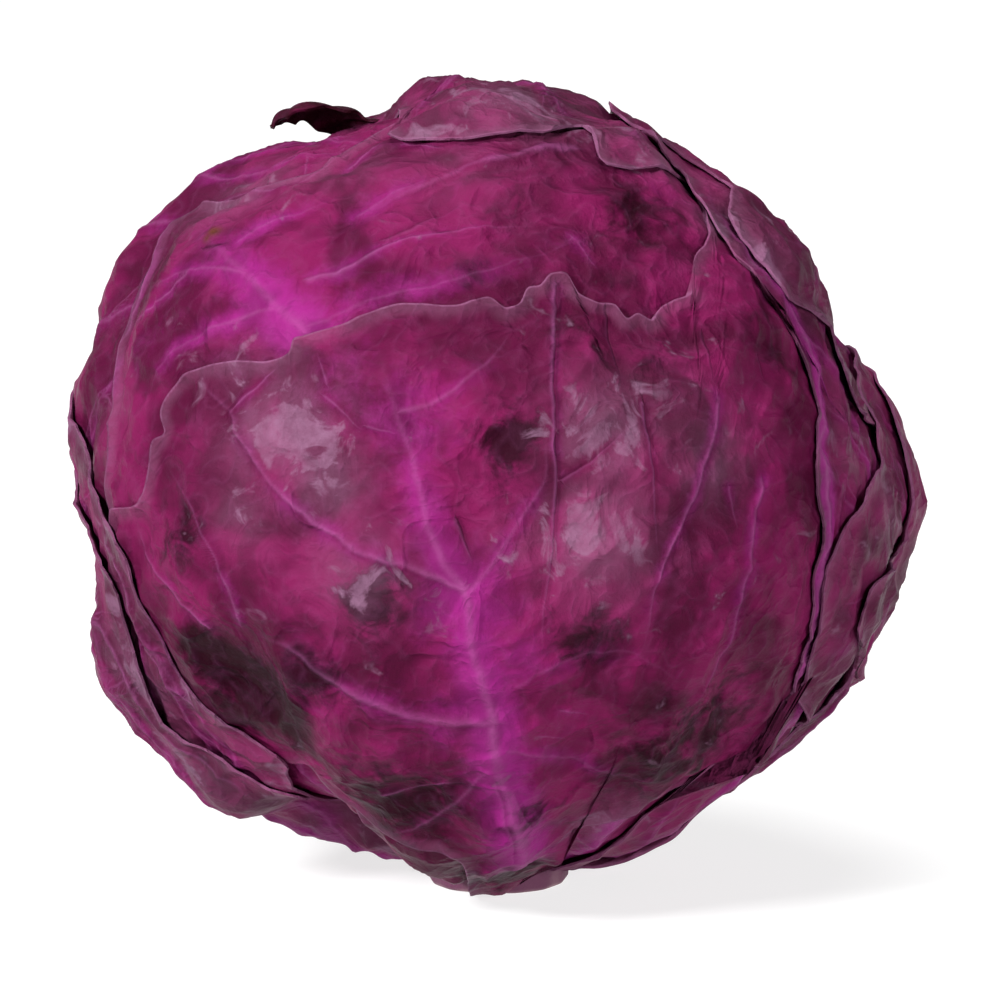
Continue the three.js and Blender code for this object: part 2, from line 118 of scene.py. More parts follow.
def cut_stem_material():
    """Dried pith: matt, fibrous and pale, darker in the ring of strands and towards the skin."""
    material = bpy.data.materials.new("dried_stem_pith")
    material.use_nodes = True
    tree = material.node_tree
    place = node(tree, "TexCoord", {}, "Object")
    # Fibres about 1 mm apart and blotches of 6 mm.
    across = node(tree, "VectorMath", {0: place, 1: (1.0, 1.0, 0.0)}, operation="MULTIPLY")
    radius = node(tree, "VectorMath", {0: across}, "Value", operation="LENGTH")
    fibre = node(tree, "TexNoise", {"Vector": place, "Scale": 900.0, "Detail": 4.0})
    blotch = node(tree, "TexNoise", {"Vector": place, "Scale": 160.0, "Detail": 3.0})
    strands = node(tree, "MapRange", {0: radius, 1: 0.0092, 2: 0.0108}, interpolation_type="SMOOTHSTEP")
    skin = node(tree, "MapRange", {0: radius, 1: 0.0125, 2: 0.0142}, interpolation_type="SMOOTHSTEP")
    dry = node(tree, "Mix", {0: blotch, 6: paint("#CDB9AE"), 7: paint("#B3969A")}, 2, data_type="RGBA")
    ringed = node(tree, "Math", {0: strands, 1: 0.45}, operation="MULTIPLY")
    dry = node(tree, "Mix", {0: ringed, 6: dry, 7: paint("#8D6A76")}, 2, data_type="RGBA")
    dry = node(tree, "Mix", {0: skin, 6: dry, 7: paint("#5A2A46")}, 2, data_type="RGBA")
    bump = node(tree, "Bump", {"Height": fibre, "Strength": 0.6, "Distance": 0.0006})
    surface = tree.nodes["Principled BSDF"]
    tree.links.new(dry, surface.inputs["Base Color"])
    tree.links.new(bump, surface.inputs["Normal"])
    surface.inputs["Roughness"].default_value = 0.75
    surface.inputs["IOR"].default_value = 1.45
    return material


stem_profile = [
    (0.0, 0.25), (4.0, 0.2), (9.0, 0.05), (STEM_RADIUS - 1.6, 0.0), (STEM_RADIUS - 0.5, 0.25),
    (STEM_RADIUS, 1.0), (STEM_RADIUS + 0.1, 3.0), (STEM_RADIUS + 0.4, 8.0), (STEM_NECK, 14.0),
    (STEM_NECK, STEM_TOP), (0.0, STEM_TOP),
]
stem_points, stem_faces = revolved(stem_profile, 96, stem_uneven)
stem = make_piece("cut_stem", stem_points, stem_faces, len(stem_faces), cut_stem_material(), {})
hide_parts("stem")

# Heart
# The innermost leaves are packed so tightly that they are one firm ball. All leaves round it follow
# its form, which swells and sinks a little from place to place, as the leaves grew against each other.

HEAD_RADIUS = 85.0
HEART_HALF_WIDTH = 75.0
HEART_HALF_DEPTH = 75.0
HEART_HALF_HEIGHT = 74.0
HEART_BELOW = 64.5
HEART_CLEAR = 2.4
HEART_LEAN = np.array([-2.5, 0.0, 0.0])
VIEW_ELEVATION = math.radians(12.0)
VIEW_UP = np.array([0.0, math.sin(VIEW_ELEVATION), math.cos(VIEW_ELEVATION)])
VIEW_BACK = np.array([0.0, -math.cos(VIEW_ELEVATION), math.sin(VIEW_ELEVATION)])


def unit(vectors):
    """Vectors divided by their length."""
    return vectors / np.linalg.norm(vectors, axis=-1, keepdims=True)


def front(x, z):
    """The direction of a place seen in the front view."""
    near = math.sqrt(max(HEAD_RADIUS**2 - x * x - z * z, 0.0))
    return unit(np.array([x, 0.0, 0.0]) + VIEW_UP * z + VIEW_BACK * near)


def around(azimuth, elevation):
    """The direction at an azimuth and an elevation."""
    a = math.radians(azimuth)
    e = math.radians(elevation)
    return np.array([math.sin(a) * math.cos(e), -math.cos(a) * math.cos(e), math.sin(e)])


def rim(angle):
    """The direction of a place on the outline of the front view, at an angle up from its right."""
    a = math.radians(angle)
    return np.array([math.cos(a), 0.0, 0.0]) + VIEW_UP * math.sin(a)


def smooth_step(value, low, high):
    """0 below low, 1 above high, and 3t^2 - 2t^3 between."""
    t = np.clip((value - low) / (high - low), 0.0, 1.0)
    return t * t * (3.0 - 2.0 * t)


def bell(d, place, width):
    """exp(-(distance / width)^2), with the distance in mm over the head."""
    return np.exp(-(HEAD_RADIUS**2) * ((d - place) ** 2).sum(axis=1) / width**2)


# Each lump is a place, its width and its height in mm. Each wave is its direction, phase and height.
LUMPS = [
    (rim(20), 22, -10), (rim(42), 22, -5.5), (rim(62), 22, -9), (rim(101), 11, 2), (rim(110), 16, -10),
    (rim(132), 12, 7), (rim(149), 20, 2.5), (rim(192), 20, -7), (rim(215), 22, 3), (rim(244), 16, -9),
    (rim(306), 22, -4), (rim(330), 17, 1), (front(-51, -41), 17, -6), (front(-20, -62), 17, -3),
    (front(48, -48), 16, -3.5), (front(-79, 4), 11, 2), (front(-2, -25), 14, 1.8), (front(-50, 34), 16, 1.6),
    (front(38, 4), 18, 1.2), (around(150, 20), 30, 2.5), (around(-140, 30), 26, -2.5),
    (around(170, -35), 24, 2), (around(120, -45), 20, -2.5), (around(-125, -30), 22, 2),
]
WAVES = [
    ((5.1, 2.3, -3.2), 0.4, 0.55), ((-2.7, 6.4, 2.9), 1.9, 0.5), ((3.8, -4.6, 6.1), 3.1, 0.45),
    ((-7.9, -3.1, 4.4), 4.6, 0.35), ((6.6, 8.2, 5.3), 5.5, 0.25),
]


def form(d):
    """Radius in mm towards d: an egg-like ball, plus its lean, its lumps and slow waves."""
    half_height = np.where(d[:, 2] < 0.0, HEART_BELOW, HEART_HALF_HEIGHT)
    wide = (d[:, 0] / HEART_HALF_WIDTH) ** 2 + (d[:, 1] / HEART_HALF_DEPTH) ** 2
    radius = 1.0 / np.sqrt(wide + (d[:, 2] / half_height) ** 2) + d @ HEART_LEAN
    for place, width, height in LUMPS:
        radius = radius + height * bell(d, place, width)
    calm = smooth_step(d[:, 2], -0.99, -0.85)
    for wave, phase, height in WAVES:
        radius = radius + calm * height * np.sin(d @ np.array(wave) + phase)
    return radius


# How large the skin's clouds of colour, plates, mottling, grain, puckers and crinkles are, in mm.
CLOUD_SIZE = 25.0
PLATE_SIZE = 10.0
MOTTLE_SIZE = 6.25
GRAIN_SIZE = 1.0
PUCKER_SIZE = 12.5
CRINKLE_SIZE = 5.0


def red_cabbage_skin(name, plum, wine, magenta, pale):
    """A leaf's waxy skin, half glossy. Purple sap lies close under it, clear magenta near the ribs and
    deep plum between them, with painted shade over it in dents, hollows, creases and under margins. Ribs are
    paler, margins are paler with a painted highlight along the edge, and a grey bloom of wax lies on it in
    patches, which also stand for painted sheen and reflection."""
    material = bpy.data.materials.new(name)
    material.use_nodes = True
    tree = material.node_tree
    place = node(tree, "TexCoord", {}, "Object")
    fields = {}
    for key in ("glow", "shade", "bloom_sheen", "rib", "rib_offset", "line", "line_offset", "fold", "edge", "rust"):
        fields[key] = node(tree, "Attribute", {}, "Fac", attribute_name=key)

    # Puckers and crinkles have sharp ridges.
    size = {"Vector": place, "Scale": 1.0 / (CLOUD_SIZE * MM)}
    clouds = node(tree, "TexNoise", {**size, "Detail": 6.0, "Distortion": 0.5})
    size = {"Vector": place, "Scale": 1.0 / (PLATE_SIZE * MM)}
    plates = node(tree, "TexNoise", {**size, "Detail": 8.0, "Roughness": 0.6, "Distortion": 1.2})
    size = {"Vector": place, "Scale": 1.0 / (MOTTLE_SIZE * MM)}
    mottle = node(tree, "TexNoise", {**size, "Detail": 8.0, "Roughness": 0.75})
    grain = node(tree, "TexNoise", {"Vector": place, "Scale": 1.0 / (GRAIN_SIZE * MM), "Detail": 3.0})
    size = {"Vector": place, "Scale": 1.0 / (PUCKER_SIZE * MM), "Detail": 6.0, "Offset": 1.0}
    ridged = node(tree, "TexNoise", {**size, "Distortion": 0.8}, noise_type="RIDGED_MULTIFRACTAL")
    pucker = node(tree, "MapRange", {0: ridged, 1: 0.4, 2: 1.8}, interpolation_type="SMOOTHSTEP")
    size = {"Vector": place, "Scale": 1.0 / (CRINKLE_SIZE * MM), "Detail": 6.0, "Offset": 1.0}
    crinkled = node(tree, "TexNoise", {**size, "Distortion": 0.3}, noise_type="RIDGED_MULTIFRACTAL")
    crinkle = node(tree, "MapRange", {0: crinkled, 1: 0.8, 2: 1.9})

    # Clouds of wine and plum, magenta near the ribs, deep plum blotches with painted shade, painted shade in
    # the puckers' hollows, and the crinkles' pale crests, a painted highlight.
    cloudy = node(tree, "MapRange", {0: clouds, 1: 0.42, 2: 0.58}, interpolation_type="SMOOTHSTEP")
    uneven = node(tree, "Math", {0: mottle, 1: 1.1, 2: -0.55}, operation="MULTIPLY_ADD")
    glowing = node(tree, "Math", {0: fields["glow"], 1: uneven}, operation="ADD")
    glowing = node(tree, "MapRange", {0: glowing, 1: 0.1, 2: 1.0}, interpolation_type="SMOOTHSTEP")
    broken = node(tree, "Math", {0: plates, 1: 1.8, 2: -0.9}, operation="MULTIPLY_ADD")
    # Deep plum blotches at random, with painted shade where the shade spots lie.
    deep_plum_and_shade = node(tree, "Math", {0: fields["shade"], 1: broken}, operation="ADD")
    deep_plum_and_shade = node(tree, "Math", {0: deep_plum_and_shade, 1: uneven}, operation="ADD")
    deep_plum_and_shade = node(tree, "MapRange", {0: deep_plum_and_shade, 1: 0.22, 2: 0.9, 4: 0.92}, interpolation_type="SMOOTHSTEP")
    # The crinkles' crests are paler: a painted highlight that follows the crinkle bump.
    crinkle_highlight = node(tree, "Math", {0: crinkle, 1: 0.07}, operation="MULTIPLY")
    # Painted shade in the puckers' hollows.
    hollow_shade = node(tree, "MapRange", {0: ridged, 1: 0.9, 2: 0.35, 4: 0.3}, interpolation_type="SMOOTHSTEP")

    # The midrib, veins and creases, from the offset across them in half widths. They come and go.
    come = node(tree, "MapRange", {0: mottle, 1: 0.36, 2: 0.62, 3: 0.55, 4: 1.1})
    drawn = {}
    for key in ("rib", "line"):
        offset = fields[key + "_offset"]
        square = node(tree, "Math", {0: offset, 1: offset}, operation="MULTIPLY")
        power = node(tree, "Math", {0: square, 1: -1.0}, operation="MULTIPLY")
        narrow = node(tree, "Math", {0: power}, operation="EXPONENT")
        drawn[key] = node(tree, "Math", {0: narrow, 1: fields[key]}, operation="MULTIPLY")
        drawn[key] = node(tree, "Math", {0: drawn[key], 1: come}, operation="MULTIPLY")
    light = node(tree, "Math", {0: drawn["line"], 1: drawn["rib"]}, operation="MAXIMUM")
    # Painted light along the lines: a crease is darker in its bottom, painted shade, and a fold is painted
    # lit on one side (pale) and shaded on the other (#1C040D).
    minus = node(tree, "Math", {0: drawn["line"], 1: -1.0}, operation="MULTIPLY")
    dark = node(tree, "Math", {0: minus, 1: 0.0}, operation="MAXIMUM")
    power = node(tree, "Math", {0: square, 1: -0.35}, operation="MULTIPLY")
    wide = node(tree, "Math", {0: power}, operation="EXPONENT")
    tilt = node(tree, "Math", {0: wide, 1: fields["line_offset"]}, operation="MULTIPLY")
    tilt = node(tree, "Math", {0: tilt, 1: fields["fold"]}, operation="MULTIPLY")
    lit = node(tree, "Math", {0: tilt, 1: -0.5}, operation="MULTIPLY", use_clamp=True)
    unlit = node(tree, "Math", {0: tilt, 1: 0.7}, operation="MULTIPLY", use_clamp=True)
    crease_shade = node(tree, "Math", {0: unlit, 1: dark}, operation="MAXIMUM", use_clamp=True)
    lighter = node(tree, "Math", {0: light, 1: 0.6}, operation="MULTIPLY", use_clamp=True)

    # The grey bloom lies in patches with ragged edges, and thinly along the margin; it is partly wax bloom
    # and partly painted sheen and reflection. The margin is paler itself, with a painted highlight along its
    # edge.
    wax_and_sheen = node(tree, "Math", {0: broken, 1: 2.4, 2: fields["bloom_sheen"]}, operation="MULTIPLY_ADD")
    wax_and_sheen = node(tree, "MapRange", {0: wax_and_sheen, 1: 0.55, 2: 1.2}, interpolation_type="SMOOTHSTEP")
    thin = node(tree, "Math", {0: fields["bloom_sheen"], 1: 0.45}, operation="MULTIPLY")
    wax_and_sheen = node(tree, "Math", {0: wax_and_sheen, 1: thin}, operation="MAXIMUM")
    rubbed = node(tree, "MapRange", {0: mottle, 1: 0.3, 2: 0.62, 3: 0.3, 4: 0.75})
    bloom_and_sheen = node(tree, "Math", {0: wax_and_sheen, 1: rubbed}, operation="MULTIPLY", use_clamp=True)
    edge = fields["edge"]
    # A grey band along the margin, partly wax bloom and partly painted sheen.
    margin_bloom_and_sheen = node(tree, "MapRange", {0: edge, 1: 4.0, 2: 0.6, 4: 0.32}, interpolation_type="SMOOTHSTEP")
    margin_bloom_and_sheen = node(tree, "Math", {0: margin_bloom_and_sheen, 1: rubbed}, operation="MULTIPLY")
    # A pale line at the margin, partly its own paler colour and partly a painted highlight where the edge
    # catches light.
    margin = node(tree, "MapRange", {0: edge, 1: 0.5, 2: 0.1, 4: 0.55})
    margin = node(tree, "Math", {0: margin, 1: come}, operation="MULTIPLY")

    # The colours one over the other, painted shade and highlights among them: the grey bloom with its painted
    # sheen, the margin and rusty scars come last.
    base = node(tree, "Mix", {0: cloudy, 6: paint(plum), 7: paint(wine)}, 2, data_type="RGBA")
    # Over the clouds: magenta, deep plum and painted shade (#19040B), the crinkles' painted highlight,
    # painted shade in the puckers' hollows (#22060F), folds' painted lit side, painted shade in creases
    # (#1C040D), pale veins, bloom and painted sheen (#77546C), the margin and rust.
    for share, colour in (
        (glowing, magenta), (deep_plum_and_shade, "#19040B"), (crinkle_highlight, pale), (hollow_shade, "#22060F"), (lit, pale),
        (crease_shade, "#1C040D"), (lighter, pale), (bloom_and_sheen, "#77546C"), (margin_bloom_and_sheen, "#77546C"), (margin, "#7E4E6E"),
        (fields["rust"], "#4E2A1C"),
    ):
        base = node(tree, "Mix", {0: share, 6: base, 7: paint(colour)}, 2, data_type="RGBA")

    rough = node(tree, "Math", {0: mottle, 1: 0.25, 2: 0.24}, operation="MULTIPLY_ADD")
    rough = node(tree, "Math", {0: wax_and_sheen, 1: 0.08, 2: rough}, operation="MULTIPLY_ADD")
    height = 0.0
    for part, rise in (
        (light, 0.35), (dark, -0.4), (pucker, 0.8), (mottle, 0.65), (crinkle, 0.25), (grain, 0.08),
    ):
        height = node(tree, "Math", {0: part, 1: rise, 2: height}, operation="MULTIPLY_ADD")
    bump = node(tree, "Bump", {"Height": height, "Strength": 0.9, "Distance": 0.001})

    surface = tree.nodes["Principled BSDF"]
    tree.links.new(base, surface.inputs["Base Color"])
    tree.links.new(rough, surface.inputs["Roughness"])
    tree.links.new(bump, surface.inputs["Normal"])
    surface.inputs["IOR"].default_value = 1.3
    surface.inputs["Specular IOR Level"].default_value = 0.06
    surface.inputs["Specular Tint"].default_value = paint("#E8B8DC")
    return material


WRAPPER_SKIN = red_cabbage_skin("red_cabbage_skin", "#440C29", "#62133E", "#7A1C62", "#8E4E7C")


def ball(rings, spokes):
    """Directions over a ball: its foot, rings of equal steps of elevation, and its crown, with its faces."""
    elevation = np.radians(np.linspace(-90.0, 90.0, rings + 1)[1:-1])[:, None]
    azimuth = np.linspace(0.0, 2.0 * math.pi, spokes, endpoint=False)[None, :]
    level = np.cos(elevation)
    body = [np.sin(azimuth) * level, -np.cos(azimuth) * level, np.sin(elevation) + 0.0 * azimuth]
    directions = np.concatenate([np.stack(body, axis=-1).reshape(-1, 3), [[0, 0, -1.0], [0, 0, 1.0]]])
    k = np.arange(spokes)
    after = (k + 1) % spokes
    rows = np.arange(rings - 2)[:, None] * spokes
    sides = np.stack([rows + k, rows + after, rows + spokes + after, rows + spokes + k], axis=-1)
    foot = np.full(spokes, len(directions) - 2)
    crown = np.full(spokes, len(directions) - 1)
    last = (rings - 2) * spokes
    faces = sides.reshape(-1, 4).tolist() + np.stack([foot, after, k], axis=1).tolist()
    return directions, faces + np.stack([last + k, last + after, crown], axis=1).tolist()


# Beyond this many half widths a line has no effect, and beyond this many mm a margin has none.
LINE_REACH = 6.0
MARGIN_REACH = 9.0

heart_d, heart_faces = ball(64, 96)
heart_points = heart_d * (form(heart_d) - HEART_CLEAR)[:, None] + [0.0, 0.0, HEAD_MIDDLE]
flat = np.zeros(len(heart_d))
heart_fields = {"line_offset": flat + LINE_REACH, "edge": flat + MARGIN_REACH, "glow": flat + 0.5}
heart = make_piece("packed_heart", heart_points, heart_faces, len(heart_faces), WRAPPER_SKIN, heart_fields)
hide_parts("heart")

# Inner wrapper leaves
# Leaves grow one over the other, each with its foot at the stem and its midrib out to its tip. These
# three are the lowest: one behind the left shoulder, and two that hardly show under the front leaf.

LEAF_THICKNESS = 0.9
LEAF_GAP = 1.5
BODY_DRAPE = 9.0
FELT_MARGIN = 0.5
FREE_MARGIN = 18.0
MARGIN_STAND = 0.5
MARGIN_THICKNESS = 0.5
MARGIN_TAPER = 6.0
RIB_HALF_WIDTH = 8.0
RIB_HEIGHT = 2.4
RIB_LENGTH = 120.0
LINE_WOBBLE = 0.5
VALLEY_DEPTH = 0.9
VALLEY_WIDTH = 5.0
BARE_BESIDE_LINE = 1.6
RELIEF_LOWEST = -0.8
RELIEF_HIGHEST = 1.3
PUCKER_LENGTH = 20.0
PUCKER_DEPTH = 0.8
FLOOR_CLEAR = 0.8
FOOT = -80.0
VEIN_STEP = 4.0
# Steps of bearing round a leaf, and how many of them its calmer outline takes together.
TURNS = 1440
CALM_TURNS = 40
# Directions compared with a margin in one go, and how much coarser a leaf's inner face is.
BLOCK = 20000
COARSER = 4
DETAIL = 1.0
laid = []

# The leaves lie closer in a real head than their gaps allow, and the head is fuller for it in these places.
FULLER = [
    (rim(0), 24, 2.0), (rim(25), 20, 1.5), (rim(72), 14, 4.5), (rim(88), 14, 1.5), (rim(104), 12, 3.5),
    (rim(122), 12, 1.5), (rim(150), 14, 3.0), (rim(168), 16, 5.5), (rim(184), 12, 3.5), (rim(203), 16, 6.0),
    (rim(230), 14, 5.0), (rim(292), 14, 3.0), (rim(305), 14, 3.0), (rim(320), 14, 1.5), (rim(130), 11, -4.0),
    (rim(142), 9, 1.5), (rim(243), 13, -6.5), (rim(220), 12, -0.5), (rim(58), 16, 1.5), (rim(343), 13, -3.0),
    (rim(91), 10, -2.5), (rim(162), 12, -2.0), (rim(300), 12, -1.5), (rim(120), 8, 1.5),
]
FULLER_BELOW = 6.0


def fullness(d):
    """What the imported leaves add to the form: bells at some places, and more round the stem."""
    more = 1.5 + FULLER_BELOW * (1.0 - smooth_step(d[:, 2], -0.97, -0.6))
    for place, width, height in FULLER:
        more = more + height * bell(d, place, width)
    return more


# How much the leaves laid on the form add in front, in mm, so that a drawn place falls where it is seen.
LEAVES_IN_FRONT = 8.5


def seen(x, z):
    """The direction of a place drawn on the head as the front view shows it.

    The head isn't a ball, so the radius is worked out at the place found so far, and the place again from it.
    """
    d = front(x, z)
    for _ in range(8):
        radius = (form(d[None, :]) + fullness(d[None, :]))[0] + LEAVES_IN_FRONT
        near = math.sqrt(max(radius**2 - x * x - z * z, 0.0))
        d = unit(d + unit(np.array([x, 0.0, 0.0]) + VIEW_UP * z + VIEW_BACK * near))
    return d


def views(*places):
    """The directions of several places drawn as the front view shows them."""
    return [seen(x, z) for x, z in places]


def wander(d, seed, length, octaves):
    """Smooth noise of about -1 to 1: sums of sine waves of a length in mm, each octave half as long."""
    random = np.random.default_rng(seed)
    total = np.zeros(len(d))
    for octave in range(octaves):
        rate = 2.0 * math.pi * HEAD_RADIUS / length * 2.0**octave
        waves = unit(random.normal(size=(9, 3))) * rate * random.uniform(0.6, 1.4, (9, 1))
        phases = random.uniform(0.0, 2.0 * math.pi, 9)
        total += 0.5**octave * np.sin(d @ waves.T + phases).sum(axis=1) / 4.2
    return total / (2.0 - 0.5 ** (octaves - 1))


def crumple(d):
    """Soft ridges and puckers in mm where leaves are pressed together; noise bends the ridges' own noise."""
    bend = np.stack([wander(d, seed, 40, 1) for seed in (11, 12, 13)], axis=1)
    moved = d + 0.05 * bend
    ridges = np.clip(1.0 - 2.2 * np.abs(wander(moved, 21, 34, 2)), -1.0, 1.0)
    return 0.8 * ridges * np.abs(ridges) + 0.4 * wander(moved, 31, 13, 2)


def polar(leaf, d):
    """Angle from a leaf's middle and bearing round it, both in radians."""
    out, side, up = leaf["chart"]
    return np.arccos(np.clip(d @ out, -1.0, 1.0)), np.arctan2(d @ up, d @ side)


def from_polar(leaf, far, bearing):
    """The direction at an angle from a leaf's middle, at a bearing round it."""
    out, side, up = leaf["chart"]
    away = np.cos(bearing)[:, None] * side + np.sin(bearing)[:, None] * up
    return np.cos(far)[:, None] * out + np.sin(far)[:, None] * away


def look_up(table, bearing):
    """A value from a table round the full turn, linear between its entries."""
    t = (bearing / (2.0 * math.pi) * TURNS) % TURNS
    low = np.floor(t).astype(int)
    share = t - low
    return table[low % TURNS] * (1.0 - share) + table[(low + 1) % TURNS] * share


def curve_through(points, closed, steps):
    """Catmull-Rom curve through the points, its knots apart by the root of their distance."""
    points = np.array(points)
    if closed:
        padded = np.concatenate([points[-1:], points, points[:2]])
    else:
        padded = np.concatenate([2 * points[:1] - points[1:2], points, 2 * points[-1:] - points[-2:-1]])
    knots = np.sqrt(np.linalg.norm(np.diff(padded, axis=0), axis=1)) + 1e-9
    made = []
    for i in range(len(padded) - 3):
        a, b, c, e = padded[i : i + 4]
        before, here, after = knots[i : i + 3]
        t = np.linspace(0.0, here, steps, endpoint=False)[:, None]
        ab = (b * (t + before) - a * t) / before
        bc = (b * (here - t) + c * t) / here
        ce = (c * (here + after - t) + e * (t - here)) / after
        first = (ab * (here - t) + bc * (t + before)) / (before + here)
        second = (bc * (here + after - t) + ce * t) / (here + after)
        made.append((first * (here - t) + second * t) / here)
    if not closed:
        made.append(padded[-2:-1])
    return np.concatenate(made)


def reach_table(leaf, outline):
    """Angle from a leaf's middle to its outline for each bearing, the furthest where it folds back."""
    curve = unit(curve_through(outline, True, 60))
    far, bearing = polar(leaf, np.concatenate([curve, curve[:1]]))
    table = np.zeros(TURNS)
    spot = bearing / (2.0 * math.pi) * TURNS
    for k in range(len(spot) - 1):
        step = spot[k + 1] - spot[k]
        step -= TURNS * round(step / TURNS)
        low, high = sorted((spot[k], spot[k] + step))
        for i in range(math.ceil(low), math.floor(high) + 1):
            share = 0.0 if step == 0.0 else (i - spot[k]) / step
            table[i % TURNS] = max(table[i % TURNS], far[k] + share * (far[k + 1] - far[k]))
    return table


def leaf(name, foot, middle, tip, outline, bend=None, cells=150, room=0.0, waved=0.0, flaps=(), ragged=0.4,
         tone=(0, 0, 0)):
    """A leaf's outline, chart and habits. Its outline wanders a little, and room is what it stands off more.

    All of the outline can be seen from the middle, which the midrib runs through unless it has its own bend.
    """
    side = unit(np.cross([0.0, 0.0, 1.0], middle))
    made = dict(name=name, foot=foot, middle=middle, tip=tip, chart=(middle, side, np.cross(middle, side)))
    made["seed"] = sum(map(ord, name))
    made.update(cells=cells, room=room, flaps=flaps, tone=tone, bend=middle if bend is None else bend)
    turn = np.arange(TURNS) * 2.0 * math.pi / TURNS
    reach = reach_table(made, outline) + waved / HEAD_RADIUS * np.sin(9 * turn)
    random = np.random.default_rng(made["seed"])
    for count in (23, 41, 67, 113):
        reach = reach + ragged * 14.0 / count / HEAD_RADIUS * np.sin(count * turn + random.uniform(0.0, 6.0))
    made["reach"] = reach
    low = np.min([np.roll(reach, k) for k in range(-CALM_TURNS, CALM_TURNS + 1)], axis=0)
    made["calm_reach"] = np.mean([np.roll(low, k) for k in range(-CALM_TURNS, CALM_TURNS + 1)], axis=0)
    made["edge"] = from_polar(made, reach, turn).astype(np.float32)
    return made


def inside(leaf, d):
    """Distance in mm to a leaf's margin, below 0 outside it: the nearest of the margin's own points."""
    nearest = np.empty(len(d))
    for start in range(0, len(d), BLOCK):
        block = d[start : start + BLOCK].astype(np.float32)
        nearest[start : start + BLOCK] = (block @ leaf["edge"].T).max(axis=1)
    gap = HEAD_RADIUS * np.sqrt(np.clip(2.0 - 2.0 * nearest, 0.0, None))
    far, bearing = polar(leaf, d)
    return np.where(far < look_up(leaf["reach"], bearing), gap, -gap)


def rib_path(leaf, steps):
    """The midrib as directions: great circles from the foot by way of its bend to the tip."""
    t = np.linspace(0.0, 1.0, steps)[:, None]
    low = leaf["foot"] * (1.0 - t) + leaf["bend"] * t
    high = leaf["bend"] * (1.0 - t) + leaf["tip"] * t
    return unit(np.concatenate([low[:-1], high]))


def nearest_on(path, places):
    """Distance, signed distance across and share of the way for the nearest place on a path over the head.

    The nearest of the path's points is found first, then the nearer of the two stretches that meet there.
    """
    nearest = (places.astype(np.float32) @ path.T.astype(np.float32)).argmax(axis=1)
    best = np.full(len(places), np.inf)
    across = np.zeros(len(places))
    share = np.zeros(len(places))
    for back in (1, 0):
        i = np.clip(nearest - back, 0, len(path) - 2)
        run = path[i + 1] - path[i]
        off = places - path[i]
        t = np.clip((off * run).sum(axis=1) / (run * run).sum(axis=1), 0.0, 1.0)
        off = off - t[:, None] * run
        gap = (off * off).sum(axis=1)
        closer = gap < best
        best = np.where(closer, gap, best)
        across = np.where(closer, (off * np.cross(path[i], run)).sum(axis=1), across)
        share = np.where(closer, (i + t) / (len(path) - 1), share)
    gap = np.sqrt(best)
    return gap, np.where(across < 0.0, -gap, gap), share


def swell(leaf, d):
    """How far the midrib stands up in mm: a bell across it that sinks from the foot to the tip."""
    path = rib_path(leaf, 40) * HEAD_RADIUS
    gap, _, share = nearest_on(path, d * HEAD_RADIUS)
    length = np.linalg.norm(np.diff(path, axis=0), axis=1).sum()
    fade = np.clip(1.0 - share * length / RIB_LENGTH, 0.0, 1.0)
    width = RIB_HALF_WIDTH * (0.5 + 0.5 * fade)
    return RIB_HEIGHT * fade * np.exp(-((gap / width) ** 2))


def near_stem(d, least, low, high):
    """Grows from least to 1 away from the stem, where the leaves' feet crowd together."""
    return least + (1.0 - least) * smooth_step(d[:, 2], low, high)


def layer(leaf, d):
    """What a leaf adds under those above it in mm: its body, draped down outside its margin, and the air that
    it has under it away from its margin."""
    depth = inside(leaf, d)
    body = smooth_step(depth, -BODY_DRAPE, -FELT_MARGIN)
    air = smooth_step(depth, 0.0, FREE_MARGIN)
    room = LEAF_GAP + leaf["room"] * near_stem(d, 0.4, -0.97, -0.8)
    return body * (LEAF_THICKNESS + swell(leaf, d)) + air * room


def line(points, width=0.45, ridge=0.3, glow=0.5, spread=3.0, light=0.6, fold=0.0, in_view=True):
    """A vein: half its width and its height in mm, the glow beside it and how far that spreads, how much
    lighter it is than the leaf, or darker below 0 as painted shade in a crease, and how much the leaf is
    folded along it, which paints one side of it lit and the other shaded."""
    directions = views(*points) if in_view else points
    path = unit(curve_through(directions, False, 10)) * HEAD_RADIUS
    wobble = np.stack([wander(path / HEAD_RADIUS, seed, 9, 2) for seed in (41, 42, 43)], axis=1)
    path = unit(path + LINE_WOBBLE * wobble) * HEAD_RADIUS
    return dict(path=path, width=width, ridge=ridge, glow=glow, spread=spread, light=light, fold=fold)


def crease(points, width=0.4, ridge=-0.25, light=-0.8, fold=0.8, glow=0.0):
    """A sharp fold in the leaf, with painted shade in its bottom and one side painted lit, the other shaded.
    """
    return line(points, width, ridge, glow, 2.0, light, fold)


